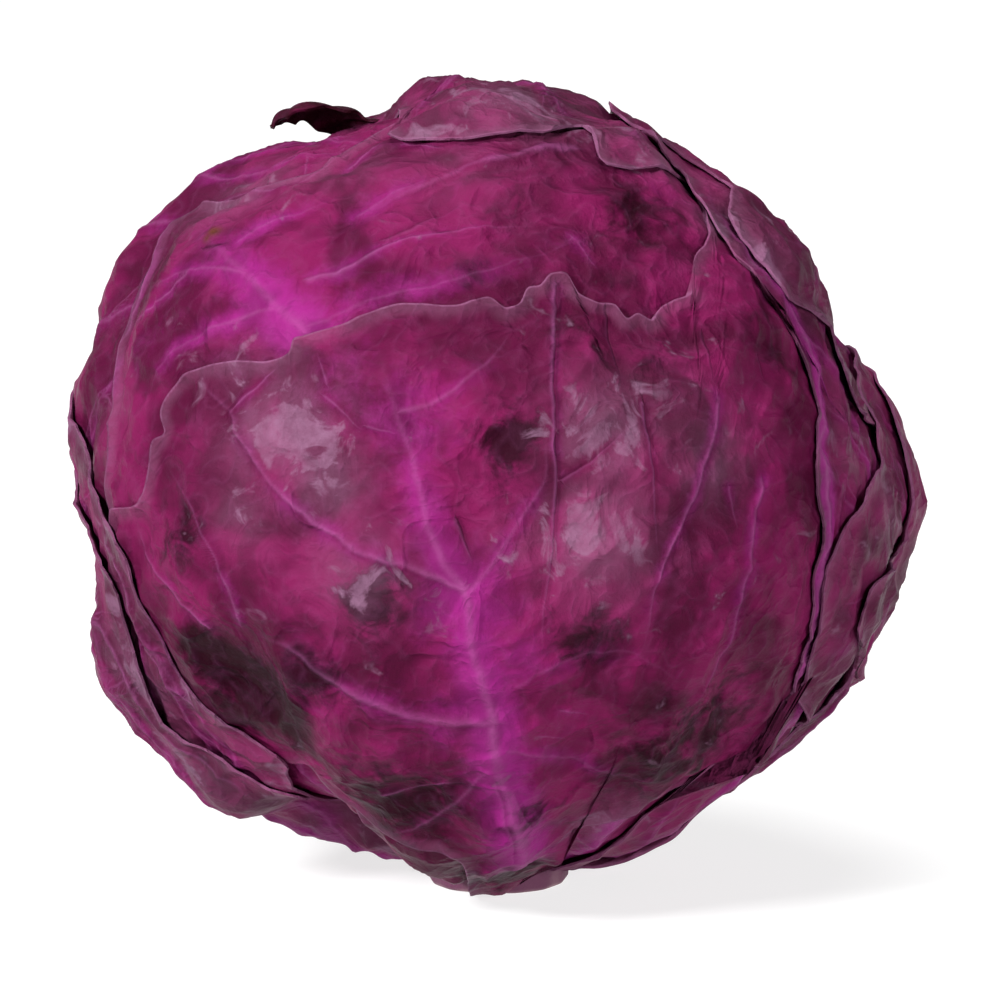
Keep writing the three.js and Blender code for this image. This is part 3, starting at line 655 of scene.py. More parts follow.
def draw(lines, d):
    """The lines' fields at directions d. A line's strength is light times (1 - share^3), its glow and ridge
    are bells across it, and a fold is a step that dies away over 3 mm on either side. The first line is the
    midrib, which has fields of its own, so that veins can start on it. All lines lie in shallow valleys, a
    wide bell across them, and the share of grey bloom and painted sheen sinks in a narrow one beside them."""
    fields = {"rib_offset": np.full(len(d), LINE_REACH), "line_offset": np.full(len(d), LINE_REACH)}
    for key in ("rib", "line", "fold", "glow"):
        fields[key] = np.zeros(len(d))
    fields["bloom_sheen"] = np.ones(len(d))
    relief = np.zeros(len(d))
    valley = np.zeros(len(d))
    places = d * HEAD_RADIUS
    for number, each in enumerate(lines):
        kind = "rib" if number == 0 else "line"
        offset = fields[kind + "_offset"]
        path = each["path"]
        centre = path.mean(axis=0)
        reach = np.linalg.norm(path - centre, axis=1).max() + 3.0 * max(each["spread"], 3.0)
        near = np.flatnonzero(((places - centre) ** 2).sum(axis=1) < reach**2)
        if len(near) == 0:
            continue
        gap, across, share = nearest_on(path, places[near])
        width = each["width"] * (1.0 - 0.55 * share)
        taper = 1.0 - share**3
        u = np.clip(across / width, -LINE_REACH, LINE_REACH)
        within = np.clip(1.0 - (gap / (1.4 + 2.0 * width)) ** 2, 0.0, 1.0) * (1.0 - (u / LINE_REACH) ** 2)
        nearer = np.abs(u) <= np.abs(offset[near])
        chosen = near[nearer]
        offset[chosen] = u[nearer]
        fields[kind][chosen] = (each["light"] * taper * within)[nearer]
        if number > 0:
            fields["fold"][chosen] = (each["fold"] * taper * within)[nearer]
        bleed = each["glow"] * taper * np.exp(-((gap / (each["spread"] * (1.0 - 0.4 * share))) ** 2))
        fields["glow"][near] = np.maximum(fields["glow"][near], bleed)
        valley[near] = np.maximum(valley[near], VALLEY_DEPTH * taper * np.exp(-((gap / VALLEY_WIDTH) ** 2)))
        fields["bloom_sheen"][near] *= 1.0 - 0.9 * taper * np.exp(-((gap / BARE_BESIDE_LINE) ** 2))
        bump = each["ridge"] * taper * np.exp(-((gap / (1.9 * width + 0.5)) ** 2))
        step = 0.25 * each["fold"] * taper * np.sign(across) * np.exp(-gap / 3.0) * (1.0 - np.exp(-gap / 0.4))
        relief[near] += bump - step
    return fields, np.clip(relief, RELIEF_LOWEST, RELIEF_HIGHEST) - valley


def in_plane(leaf, d):
    """A direction's place in the leaf's flat chart, in mm from its middle."""
    far, bearing = polar(leaf, d[None, :])
    return np.array([math.cos(bearing[0]), math.sin(bearing[0])]) * far[0] * HEAD_RADIUS


def grow(leaf, start, angle, bend, random):
    """A vein's way in the flat chart: steps of 4 mm that turn steadily and wander, up to near the margin."""
    path = [start]
    for _ in range(26):
        here = path[-1]
        reach = look_up(leaf["reach"], np.array([math.atan2(here[1], here[0])]))[0] * HEAD_RADIUS
        if np.linalg.norm(here) > reach - 5.0:
            break
        path.append(here + VEIN_STEP * np.array([math.cos(angle), math.sin(angle)]))
        angle += bend * VEIN_STEP + random.uniform(-0.09, 0.09)
    return path


def grown_veins(leaf, pairs=7):
    """Veins by rule: side veins leave the midrib in turn on either side, bend to the tip and fork twice."""
    random = np.random.default_rng(leaf["seed"])
    spine = rib_path(leaf, 5)
    veins = [line(spine, 1.1, 0.6, 0.8, 4.5, 0.5, in_view=False)]
    flat = np.array([in_plane(leaf, p) for p in spine])
    last = len(flat) - 2
    for side in (-1, 1):
        for k in range(pairs):
            t = (k + 0.4 + 0.25 * side + random.uniform(-0.15, 0.15)) / pairs * (last + 0.4)
            i = min(int(t), last)
            ahead = flat[i + 1] - flat[i]
            angle = math.atan2(ahead[1], ahead[0]) + side * math.radians(random.uniform(42, 58))
            way = grow(leaf, flat[i] + ahead * (t - i), angle, -side * 0.012, random)
            twigs = []
            for fork, turn in ((0.35, -1), (0.62, 1)):
                aside = angle + turn * side * math.radians(random.uniform(28, 42))
                twig = grow(leaf, way[int(len(way) * fork)], aside, side * 0.008, random)
                twigs.append(twig[: len(way) // 2])
            sizes = ((way, 0.6, 0.5, 0.45), (twigs[0], 0.35, 0.3, 0.2), (twigs[1], 0.35, 0.3, 0.2))
            for path, width, ridge, glow in sizes:
                if len(path) > 3:
                    p = np.array(path)
                    far = np.linalg.norm(p, axis=1) / HEAD_RADIUS
                    place = from_polar(leaf, far, np.arctan2(p[:, 1], p[:, 0]))
                    veins.append(line(place, width, ridge, glow, 6.0 * width, 0.45, in_view=False))
    return veins


# Where the front view shows clear magenta, painted shade in dents, valleys, under margins and round the
# foot, grey bloom that is partly painted sheen and reflection, and rusty scars: x, z, width in mm and amount.
GLOWS = [
    (-6, -24, 11, 0.85), (3, -36, 9, 0.6), (-49, 34, 11, 0.4), (-15, 56, 18, 0.15), (-17, 12, 13, 0.5),
    (-9, -46, 11, 0.45), (-69, 28, 9, 0.2), (54, 44, 6, 0.5), (-36, -38, 12, 0.3), (8, -50, 9, 0.2),
    (-32, 20, 14, 0.3), (70, -34, 8, 0.3), (36, 60, 10, 0.2),
]
# Painted shade: darker spots in dents and valleys, under the leaves' margins and round the foot.
PAINTED_SHADES = [
    (-46, -41, 13, 1.6), (-36, -37, 8, 1.0), (-56, -34, 9, 1.2), (0, -80, 16, 0.8), (-53, -46, 8, 1.2),
    (8, -66, 7, 0.6), (-2, -68, 7, 0.5), (-5, 43, 6, 0.8), (1.6, 8, 8, 1.0), (20, 28, 10, 0.5),
    (32, 22, 9, 0.4), (30, 56, 15, 0.8), (2, 58, 12, 0.4), (-30, 48, 10, 0.3), (-62, -10, 9, 0.6),
    (58, 26, 8, 0.6), (38, -53, 22, 0.8), (-18, -62, 16, 1.0), (18, -31, 7, 1.0), (-60, -58, 10, 0.4),
    (12, 30, 5, 0.4), (46, -42, 10, 0.6), (-24, -23, 8, 1.0), (-12, 40, 5, 0.4), (24, 44, 9, 0.4),
    (0, -68, 14, 0.4), (66, -50, 12, 0.3), (50, 36, 10, 0.4), (34, 44, 10, 0.4),
]
# Grey patches of wax bloom, placed where sheen and reflections fall: partly bloom, partly painted sheen.
BLOOM_SHEEN_SPOTS = [
    (-43, 10, 12, 1.2), (-34, 0, 9, 1.0), (22, 9, 11, 1.1), (20, -11, 12, 1.2), (43, 4, 9, 0.9),
    (-27, -17, 9, 0.8), (5, 77, 13, 0.9), (34, 67, 9, 0.9), (46, 55, 7, 0.8), (54, 46, 6, 0.6),
    (80, -6, 8, 0.6), (-54, 61, 12, 1.0), (-40, 65, 8, 0.6), (74, 8, 8, 0.5), (-66, -60, 10, 0.8),
    (-76, -40, 9, 0.6), (-80, 18, 8, 0.5), (-50, -6, 8, 0.6), (-52, 22, 8, 0.4), (4, -12, 6, 0.4),
    (-64, -46, 8, 0.5), (24, -72, 11, 1.0), (-30, 66, 10, 0.4), (40, 10, 14, 0.35), (-10, 66, 14, 0.3),
]
SCARS = [(-57.8, 50.8, 1.5, 1.0), (-59, 49.3, 1.0, 0.8)]


def patches(spots, d):
    """The largest of the spots' bells at directions d."""
    return np.max([amount * bell(d, seen(x, z), width) for x, z, width, amount in spots], axis=0)


def dressed(leaf, lines, d):
    """Radius of a leaf's outer face in mm, its thickness and its skin's fields at directions d.

    The radius is the form and all layers below. On top of them the leaf stands off by its gap and room in its
    middle, and comes down to them and thins towards its margin. Puckers lower it where its noise is strong.
    """
    under = form(d) + fullness(d) + crumple(d) + sum(layer(below, d) for below in laid)
    depth = inside(leaf, d)
    full = smooth_step(depth, 0.0, FREE_MARGIN)
    stand = MARGIN_STAND + (LEAF_GAP - MARGIN_STAND + leaf["room"] * near_stem(d, 0.4, -0.97, -0.8)) * full
    thickness = MARGIN_THICKNESS + (LEAF_THICKNESS - MARGIN_THICKNESS) * smooth_step(depth, 0.0, MARGIN_TAPER)
    for place, width, height in leaf["flaps"]:
        stand = stand + height * bell(d, place, width)
    fields, relief = draw(lines, d)
    puckered = np.abs(wander(d, leaf["seed"], PUCKER_LENGTH, 3))
    relief = relief - PUCKER_DEPTH * np.minimum(2.0 * puckered, 1.0)
    fields["edge"] = depth
    # A leaf's tone adds to its glow, shade and bloom; the greyer bloom of the side and crown leaves is a
    # painted reflection.
    glow_tone, shade_tone, bloom_sheen_tone = leaf["tone"]
    fields["glow"] = np.maximum(fields["glow"], patches(GLOWS, d)) + glow_tone
    fields["shade"] = patches(PAINTED_SHADES, d) + shade_tone
    fields["rust"] = patches(SCARS, d)
    fields["bloom_sheen"] = (patches(BLOOM_SHEEN_SPOTS, d) + bloom_sheen_tone) * fields["bloom_sheen"]
    radius = under + stand + thickness + swell(leaf, d) + smooth_step(depth, 0.0, 3.0) * relief
    lowest = (HEAD_MIDDLE - FLOOR_CLEAR) / np.maximum(-d[:, 2], 0.1)
    return np.minimum(radius, lowest), thickness, fields


def square_to_disc(a, b):
    """Distance from the middle and turn round it for points of a square that is drawn out to a disc."""
    wide = np.abs(a) > np.abs(b)
    turn_wide = math.pi / 4 * b / np.where(a == 0.0, 1.0, a) + np.where(a < 0.0, math.pi, 0.0)
    turn_tall = math.pi / 2 - math.pi / 4 * a / np.where(b == 0.0, 1.0, b) + np.where(b < 0.0, math.pi, 0.0)
    return np.where(wide, np.abs(a), np.abs(b)), np.where(wide, turn_wide, turn_tall)


def grid_directions(leaf, cells):
    """A square grid drawn out to the leaf's outline, its middle column from foot to tip.

    The rings inside follow a calmer outline, and only the outer ones take up the real one's notches.
    """
    steps = np.linspace(-1.0, 1.0, cells + 1)
    a, b = np.meshgrid(steps * (0.8 + 0.2 * np.abs(steps)), steps, indexing="ij")
    distance, turn = square_to_disc(a.ravel(), b.ravel())
    foot = polar(leaf, leaf["foot"][None, :])[1][0]
    tip = polar(leaf, leaf["tip"][None, :])[1][0]
    right = (tip - foot) % (2.0 * math.pi)
    t = (turn + math.pi / 2) % (2.0 * math.pi)
    left_bearing = tip + (t - math.pi) / math.pi * (2.0 * math.pi - right)
    bearing = np.where(t < math.pi, foot + t / math.pi * right, left_bearing)
    calm = look_up(leaf["calm_reach"], bearing)
    outer = smooth_step(distance, 0.4, 1.0) * (look_up(leaf["reach"], bearing) - calm)
    return from_polar(leaf, distance * calm + outer, bearing)


def border(cells):
    """Numbers of a grid's border points, once round it."""
    side = cells + 1
    steps = np.arange(cells)
    return np.concatenate([steps * side, cells * side + steps, (cells - steps) * side + cells, cells - steps])


def grid_faces(cells, first, inward):
    """The faces of a grid whose points start at number first."""
    side = cells + 1
    i, j = np.meshgrid(np.arange(cells), np.arange(cells), indexing="ij")
    a = (first + i * side + j).ravel()
    corners = [a, a + side, a + side + 1, a + 1]
    return np.stack(corners[::-1] if inward else corners, axis=1)


def lay(leaf, lines):
    """Makes a leaf on those laid before it. Its outer face is a fine grid and its inner face a coarse one,
    and a rim of narrow faces, flat across it, joins their borders."""
    cells = int(leaf["cells"] * DETAIL) // (2 * COARSER) * (2 * COARSER)
    coarse = cells // COARSER
    outer_d = grid_directions(leaf, cells)
    inner_d = grid_directions(leaf, coarse)
    height, _, fields = dressed(leaf, lines, outer_d)
    low_height, low_thickness, low_fields = dressed(leaf, lines, inner_d)
    points = np.concatenate([outer_d * height[:, None], inner_d * (low_height - low_thickness)[:, None]])
    outer_ring = border(cells)
    inner_ring = border(coarse) + len(outer_d)
    here = np.repeat(inner_ring, COARSER)
    after = np.repeat(np.roll(inner_ring, -1), COARSER)
    first_half = np.tile(np.arange(COARSER) < COARSER // 2, len(inner_ring))
    fans = np.stack([outer_ring, np.where(first_half, here, after), np.roll(outer_ring, -1)], axis=1)
    halves = outer_ring[COARSER // 2 :: COARSER]
    links = np.stack([halves, inner_ring, np.roll(inner_ring, -1)], axis=1)
    faces = grid_faces(cells, 0, False).tolist() + grid_faces(coarse, len(outer_d), True).tolist()
    flat_from = len(faces)
    faces += fans.tolist() + links.tolist()
    both = {key: np.concatenate([fields[key], low_fields[key]]) for key in fields}
    points = points + [0.0, 0.0, HEAD_MIDDLE]
    piece = make_piece(leaf["name"] + "_blade", points, faces, flat_from, WRAPPER_SKIN, both)
    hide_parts(leaf["name"])
    laid.append(leaf)


crown_left = leaf(
    "leaf_crown_left",
    foot=around(-110, FOOT),
    middle=around(-105, 25),
    tip=around(-80, 78),
    outline=[
        around(-95, FOOT), around(-62, -55), around(-52, -15), around(-48, 25), seen(-44, 60),
        seen(-10, 76), around(60, 84), around(170, 72), around(-165, 45), around(-158, 10),
        around(-150, -35), around(-125, FOOT),
    ],
    waved=1.2,
)
lay(crown_left, grown_veins(crown_left))

low_left = leaf(
    "leaf_low_left",
    foot=around(-28, FOOT),
    middle=seen(-32, -52),
    tip=seen(-46, -22),
    outline=[
        around(-50, FOOT), around(-68, -62),
        *views((-70, -42), (-66, -20), (-42, -10), (-14, -28), (4, -54), (8, -72)),
        around(-8, FOOT),
    ],
    cells=80,
    room=0.6,
)
lay(low_left, grown_veins(low_left, 4))

low_right = leaf(
    "leaf_low_right",
    foot=around(38, FOOT),
    middle=seen(38, -42),
    tip=seen(44, -18),
    outline=[
        around(14, FOOT),
        *views((10, -60), (14, -26), (34, -4), (58, -4)),
        around(68, -22), around(74, -55), around(62, FOOT),
    ],
    cells=80,
)
lay(low_right, grown_veins(low_right, 4))

# Upper left leaf
# The large leaf above the front leaf's torn top. Its midrib comes out from under that leaf and runs to
# the upper left, in a wide magenta glow, past a rusty scar.

upper_left = leaf(
    "leaf_upper_left",
    foot=around(-22, FOOT),
    middle=seen(-22, 18),
    tip=seen(-61, 56),
    outline=[
        around(-34, FOOT),
        *views(
            (-39, -54), (-61, -36), (-75, -18), (-82, -5), (-81.5, 8), (-81, 22), (-78, 36), (-73, 46),
            (-69, 54), (-63, 58), (-54, 60), (-47, 63), (-39, 66.5), (-30, 72), (-19, 77.5), (-6, 80.5),
        ),
        around(60, 82),
        *views((30, 72), (48, 58), (58, 32), (48, 0), (28, -34)),
        around(-6, FOOT),
    ],
    cells=236,
    room=2.0,
    tone=(0.03, -0.12, 0.0),
)
lay(upper_left, [
    line([(-22, 6), (-30, 20), (-39.4, 30), (-45.4, 36), (-49.4, 40), (-54.4, 45), (-59.4, 49), (-62.2, 54)],
         1.3, 1.0, 1.0, 9, 0.4),
    crease([(-59.4, 47.8), (-55, 48.8)], 0.6, -0.4, -1.0, 0.2),
    line([(-39.4, 42), (-31.4, 44.6), (-25, 48), (-9.4, 52), (8.6, 53.2)], 0.4, 0.3, 0.5, 3, 0.7, 0.4),
    line([(15.6, 51), (21.6, 43)], 0.35, 0.3, 0.4, 3, 0.4),
    line([(-53, 49.8), (-47.4, 53.4), (-33.4, 59.2)], 0.5, 0.4, 0.7, 4, 0.4),
    line([(-29.4, 56), (-20, 61), (-11.4, 64)], 0.5, 0.4, 0.5, 4, 0.35),
    crease([(-23.4, 51), (-15, 54), (-7.4, 57.8)], 0.5, -0.3, -0.5, 0.4),
    line([(-31.4, 67), (-23.4, 70.8)], 0.4, 0.3, 0.4, 2.5, 0.7),
    line([(16, 70), (10, 69.5), (5.4, 68), (-5.2, 65.5), (-11, 63.5), (-19.6, 60), (-30, 55)],
         0.9, 1.1, 0.2, 3, 0.5, 0.5),
    line([(-19.4, 71), (-10.4, 69.6)], 0.4, 0.3, 0.3, 2.5, 0.6),
    line([(-45, 36), (-56, 33), (-66, 26), (-72, 16)], 0.5, 0.4, 0.7, 4, 0.4),
    line([(-52, 43), (-63, 43), (-72, 38)], 0.5, 0.4, 0.6, 4, 0.4),
    line([(-40, 31), (-26, 38), (-8, 42), (6, 46), (22, 52)], 0.5, 0.3, 0.5, 5, 0.25),
    line([(-56.8, 59.8), (-46.4, 62), (-38.4, 66.6), (-30.4, 71)], 0.5, 0.5, 0.3, 3, 0.6),
    line([(-69.4, 55), (-73.4, 46), (-77.4, 35), (-81, 26)], 0.5, 0.5, 0.5, 3, 0.7),
    line([(-62.4, 43), (-68.4, 37), (-75.4, 32.6), (-80, 25)], 0.4, 0.4, 0.4, 2.5, 0.6),
    line([(-81, 24), (-81.8, 16), (-82.6, 5), (-82, -2)], 0.4, 0.4, 0.5, 3, 0.6),
])

# Crown leaf
# It comes over the crown from behind. Its margin is torn at the left, where a dry tongue of it has
# curled up and stands out over the shoulder.

crown_back = leaf(
    "leaf_crown_back",
    foot=around(165, FOOT),
    middle=around(165, 32),
    tip=around(150, 88),
    outline=[
        around(-170, FOOT), around(-148, -30), around(-140, 20), around(-128, 50), around(-120, 64),
        around(-104, 74),
        *views(
            (-21, 76), (-23, 71.5), (-11, 70.5), (-2, 71), (10, 72), (17.5, 73), (20.5, 70.5),
            (21.5, 66.5), (29, 65), (39, 64.5), (46, 62),
        ),
        around(80, 52), around(112, 40), around(122, 0), around(128, -40), around(145, FOOT),
    ],
    cells=200,
    room=1.5,
    tone=(0, 0.1, 0.25),
)
lay(crown_back, grown_veins(crown_back))

# The tongue is a strip of the crown leaf that has dried, curled down along both sides and bent over at its
# tip. Its way is given as x and z in the front view and how far back, in mm.
TONGUE_WAY = [
    (-22, 66, 18), (-26, 71, 17), (-30, 73.4, 16), (-35, 75, 14), (-40, 75.4, 12), (-44, 73.6, 11),
    (-45.6, 71, 10),
]
TONGUE_HALF_WIDTHS = [7.5, 7.5, 6.2, 5.6, 5.2, 3.6, 1.0]
TONGUE_THICKNESS = 0.6
TONGUE_CURL = 2.2


def tongue(along, across):
    """Points of a strip carried along a way: its section is an arc that curls over more towards the tip, and
    its sides wave. The upper face's points come first, then the under face's, lower by the thickness, and the
    numbers of points along the strip and across it."""
    way = np.array([[x, 0.0, 0.0] + VIEW_UP * z - VIEW_BACK * back for x, z, back in TONGUE_WAY])
    spine = curve_through(way, False, along)
    t = np.linspace(0.0, 1.0, len(spine))[:, None]
    half = np.interp(t, np.linspace(0.0, 1.0, len(TONGUE_HALF_WIDTHS)), TONGUE_HALF_WIDTHS)
    half = half * (1.0 + 0.12 * np.sin(19.0 * t))
    ahead = unit(np.gradient(spine, axis=0))
    out = unit(spine)
    aside = unit(np.cross(out, ahead))
    out = unit(np.cross(ahead, aside))
    s = np.linspace(-1.0, 1.0, across)[None, :]
    curl = TONGUE_CURL * (0.35 + 0.65 * t)
    turned = s * curl / 2.0
    over = half / curl * 2.0 * np.sin(turned)
    down = half / curl * 2.0 * (np.cos(turned) - 1.0) + 0.35 * np.sin(31.0 * t + 4.0 * s)
    upper = spine[:, None, :] + over[..., None] * aside[:, None, :] + down[..., None] * out[:, None, :]
    normal = np.cos(turned)[..., None] * out[:, None, :] + np.sin(turned)[..., None] * aside[:, None, :]
    return upper.reshape(-1, 3), (upper - TONGUE_THICKNESS * normal).reshape(-1, 3), len(spine), across


upper, under, rows, columns = tongue(8, 21)
i, j = np.meshgrid(np.arange(rows - 1), np.arange(columns - 1), indexing="ij")
first = (i * columns + j).ravel()
quads = np.stack([first, first + columns, first + columns + 1, first + 1], axis=1)
down_side = np.arange(rows) * columns
ring = np.concatenate([
    down_side[:-1], (rows - 1) * columns + np.arange(columns - 1), down_side[:0:-1] + columns - 1,
    np.arange(columns - 1, 0, -1),
])
tongue_rim = np.stack([ring, ring + len(upper), np.roll(ring, -1) + len(upper), np.roll(ring, -1)], axis=1)
tongue_faces = quads.tolist() + (quads[:, ::-1] + len(upper)).tolist() + tongue_rim.tolist()
tongue_points = np.concatenate([upper, under]) + [0.0, 0.0, HEAD_MIDDLE]
flat = np.zeros(len(tongue_points))
tongue_fields = {"line_offset": flat + LINE_REACH, "edge": flat + MARGIN_REACH, "shade": flat + 0.8}
tongue_fields["rust"] = flat + 0.08
tongue_piece = make_piece(
    "torn_tongue", tongue_points, tongue_faces, 2 * len(quads), WRAPPER_SKIN, tongue_fields
)

# Front leaf
# The outermost leaf in front. Its midrib climbs from the stem and bends to the left, its right half
# wraps round the head, and its top margin is torn where it was pulled from the leaf above.

front_leaf = leaf(
    "leaf_front",
    foot=around(2, FOOT),
    middle=seen(30, -26),
    bend=seen(-3, -26),
    tip=seen(-20, 22),
    outline=[
        around(-14, FOOT),
        *views(
            (-8, -74), (-16, -71), (-27, -68), (-35, -64.5), (-39.5, -60), (-45, -59), (-56, -53),
            (-66, -44), (-74, -30), (-79, -17), (-80.5, -7), (-72, -4), (-69.5, 8), (-67.5, 9.6),
            (-67.8, 13), (-66.4, 17), (-63.4, 21), (-60.8, 22.6), (-53.4, 24.2), (-47, 24.2),
            (-42.4, 26), (-41.4, 29), (-39.4, 29.6), (-30.4, 32), (-23.4, 35), (-19.4, 36), (-6.4, 36),
            (-1.4, 37.4), (1.6, 35), (4.6, 36.6), (6.2, 39.6), (8.6, 40), (11, 42), (14.2, 42),
            (16.6, 38.2), (20.6, 36.8), (24.2, 36), (26.2, 33), (28.6, 34), (31.6, 32.8), (33, 35),
            (35.6, 37), (39, 38), (40.6, 39), (40, 42.6), (40.5, 46), (43, 49), (44, 52), (44, 57),
            (43, 62), (49, 56), (54, 48), (64, 36), (70, 20), (73, 2), (72.5, -16), (69, -32),
            (63, -45), (54, -56), (40, -64.5), (26, -69.5), (15, -74),
        ),
        around(14, FOOT),
    ],
    cells=284,
    room=2.1,
    ragged=0.25,
    flaps=[(around(2, -78), 12, 2.0)],
)
lay(front_leaf, [
    line([(4.6, -78), (5, -74), (3.6, -65), (1.6, -60), (-0.4, -54), (-1.4, -45), (-3.4, -37), (-4.8, -33),
          (-6.4, -22), (-11.4, -15), (-13, -10), (-15.4, 0), (-17, 6), (-19.4, 13), (-22.4, 22), (-24, 27)],
         1.3, 1.2, 1.0, 7.5, 0.55),
    crease([(0, -58), (3.2, -70), (3, -76)], 0.4, -0.3, -0.3, 0.4),
    crease([(3.6, -61), (7.6, -70)], 0.35, -0.3, -0.3, 0.4),
    line([(-18.4, 13.6), (-11.4, 16), (-6.4, 20), (-1.4, 25), (3, 30.6)], 0.6, 0.4, 0.45, 4, 0.4),
    line([(-5.4, -21.8), (0.6, -13.8), (5.6, -6.4), (9.2, 0), (9.8, 10)], 0.6, 0.4, 0.45, 4, 0.35),
    line([(-6.4, -21.8), (-15.4, -17.8), (-23.4, -15.4), (-30.4, -11.2), (-36.4, -7.8), (-42.8, -1.8),
          (-48.4, 4.6), (-53, 12.6), (-57.4, 17.2), (-59.4, 20)], 0.6, 0.7, 0.45, 4, 0.6, 0.3),
    line([(-53.8, 13.8), (-47.4, 20.2), (-44.4, 23.2)], 0.35, 0.3, 0.3, 2.5, 0.6),
    line([(-34, 19), (-36.4, 26)], 0.3, 0.3, 0.3, 2.5, 0.4),
    line([(-34.4, 16.8), (-26.4, 10)], 0.3, 0.3, 0.3, 2.5, 0.4),
    line([(-25.4, 10.6), (-19.4, 9)], 0.3, 0.2, 0.3, 2.5, 0.4),
    crease([(-8, -8), (-5, -16)], 0.35),
    line([(-1.4, -46.8), (-13.4, -45.8), (-27.4, -40), (-33.4, -36.4), (-39.4, -31.8), (-47, -28.8)],
         0.8, 0.9, 0.5, 5, 0.5, 0.35),
    line([(-49.4, -27), (-52, -20.8), (-56.4, -12.8), (-60.4, -4.8), (-67, 4)], 0.45, 0.6, 0.35, 3, 0.45),
    line([(-56.4, -27.8), (-62.4, -23.8), (-66.4, -19.8), (-71.8, -14.8), (-75, -7.4)],
         0.4, 0.6, 0.35, 3, 0.6, 0.4),
    crease([(12, 39.6), (11.6, 28), (11.2, 20), (11.8, 6), (11.6, -6), (10.6, -17), (9.2, -26), (8.8, -34)],
           0.45, -0.3, -0.55, 1.0, 0.3),
    crease([(12.2, 0), (19.6, 4.6), (26.2, 11)], 0.3, -0.2, -0.4, 0.4, 0.2),
    crease([(28.8, 15), (30.2, 8), (30.8, -2), (32.2, -16)], 0.35, -0.25, -0.5, 0.9, 0.2),
    line([(43.8, 17), (43.8, 10), (41.2, 2), (38.2, -5), (35, -13), (31.6, -20), (30.6, -27), (28.6, -37)],
         0.4, 0.35, 0.45, 3.2, 0.65, 0.45),
    line([(47.2, -1.8), (48.6, -9.8)], 0.35, 0.3, 0.4, 2.5, 0.4),
    line([(54.6, 0), (52.6, -9), (51.2, -17), (49, -25), (46, -35), (41.2, -42), (39.6, -44)],
         0.4, 0.35, 0.45, 3.2, 0.5, 0.35),
    crease([(22, 36), (23, 27), (24.6, 20)], 0.35, -0.2, -0.6, 0.3),
    crease([(42, 30), (42.6, 19)], 0.35, -0.2, -0.6, 0.3),
    crease([(53.6, 26), (55.6, 19)], 0.35, -0.2, -0.5, 0.3),
    line([(-59, 28), (-63.4, 23.8), (-65.8, 19)], 0.3, 0.2, 0.2, 2, 0.5),
    crease([(-82.4, -4.8), (-78.4, -2.4), (-73.4, -0.8)], 0.5, -0.5, -0.9, 0.6),
    line([(-79.4, -5), (-74, -4), (-69.4, -4.4)], 0.5, 0.3, 0.2, 2, 0.6),
    line([(-21.4, -59), (-13, -57.6), (-5.4, -57.4)], 0.4, 0.5, 0.4, 3, 0.5),
    line([(8.6, -50.4), (13.6, -51.4)], 0.3, 0.2, 0.3, 2, 0.4),
    line([(12.6, -45.8), (18.6, -47.2)], 0.3, 0.2, 0.3, 2, 0.4),
    line([(4, -40), (12, -36), (22, -34), (30, -36), (38, -42)], 0.5, 0.4, 0.4, 4, 0.2),
    line([(2, -52), (14, -56), (26, -60), (36, -60)], 0.5, 0.4, 0.5, 4, 0.25),
    line([(-2, -55), (-14, -66), (-22, -69)], 0.5, 0.4, 0.4, 4, 0.3),
])

# Left side leaves
# Two leaves round the left of the head, one over the other. Their margins run down to the stem in two
# pale lines, and the lower one ends in a small lobe that stands out.

left = leaf(
    "leaf_left",
    foot=around(-72, FOOT),
    middle=around(-85, -35),
    tip=around(-102, 4),
    outline=[
        around(-52, FOOT),
        *views(
            (-43, -64), (-44, -59), (-47, -55.5), (-53, -51), (-59.5, -45), (-65, -40), (-69, -32),
            (-72.5, -23.5), (-75.5, -16), (-78.5, -11), (-81.8, -7),
        ),
        around(-105, 12), around(-120, 4), around(-128, -25), around(-122, -55), around(-92, FOOT),
    ],
    cells=170,
    tone=(0, 0.1, 0.4),
)
lay(left, grown_veins(left) + [
    line([(-68.8, -30.8), (-65.8, -37.4), (-61.8, -41.8), (-57, -44.2), (-52.4, -47.8)],
         0.5, 0.4, 0.9, 3, 0.6),
    line([(-82, -12), (-77.5, -21), (-74, -31), (-69, -40), (-62, -47), (-54, -53), (-48, -58)],
         0.6, 0.7, 0.2, 3, 0.7, 0.3),
    line([(-83, -16), (-79.5, -26), (-76, -34), (-71, -42)], 0.5, 0.5, 0.2, 3, 0.6, 0.3),
])

left_low = leaf(
    "leaf_left_low",
    foot=around(-92, FOOT),
    middle=around(-98, -42),
    tip=around(-126, 0),
    outline=[
        around(-68, FOOT),
        *views(
            (-38, -71), (-41, -66), (-49, -62), (-55, -58), (-60.5, -55), (-66.5, -51), (-70.5, -46),
            (-72, -41.5), (-75, -35), (-77, -28.5), (-79, -21.5), (-81.6, -17),
        ),
        around(-112, 4), around(-134, 6), around(-150, -15), around(-150, -45), around(-118, FOOT),
    ],
    cells=170,
    room=0.6,
    flaps=[(seen(-46, -68), 8, 3)],
    tone=(0, 0.1, 0.45),
)
lay(left_low, grown_veins(left_low) + [
    line([(-82.5, -22), (-80.5, -30), (-77, -38), (-73, -46), (-66, -53.5), (-56, -60.5), (-46, -65)],
         0.6, 0.8, 0.2, 3, 0.7, 0.4),
    line([(-83, -30), (-80, -38), (-75.5, -47), (-69, -54.5), (-60, -61)], 0.5, 0.6, 0.2, 3, 0.6, 0.4),
    line([(-78, -47), (-73, -53), (-64, -60.5), (-54, -66)], 0.5, 0.6, 0.2, 3, 0.5, 0.4),
])

# Right side leaves
# Four leaves round the right of the head. The first one's margin is a long bright rib from the stem to
# the crown, and the others show as strips beyond it.

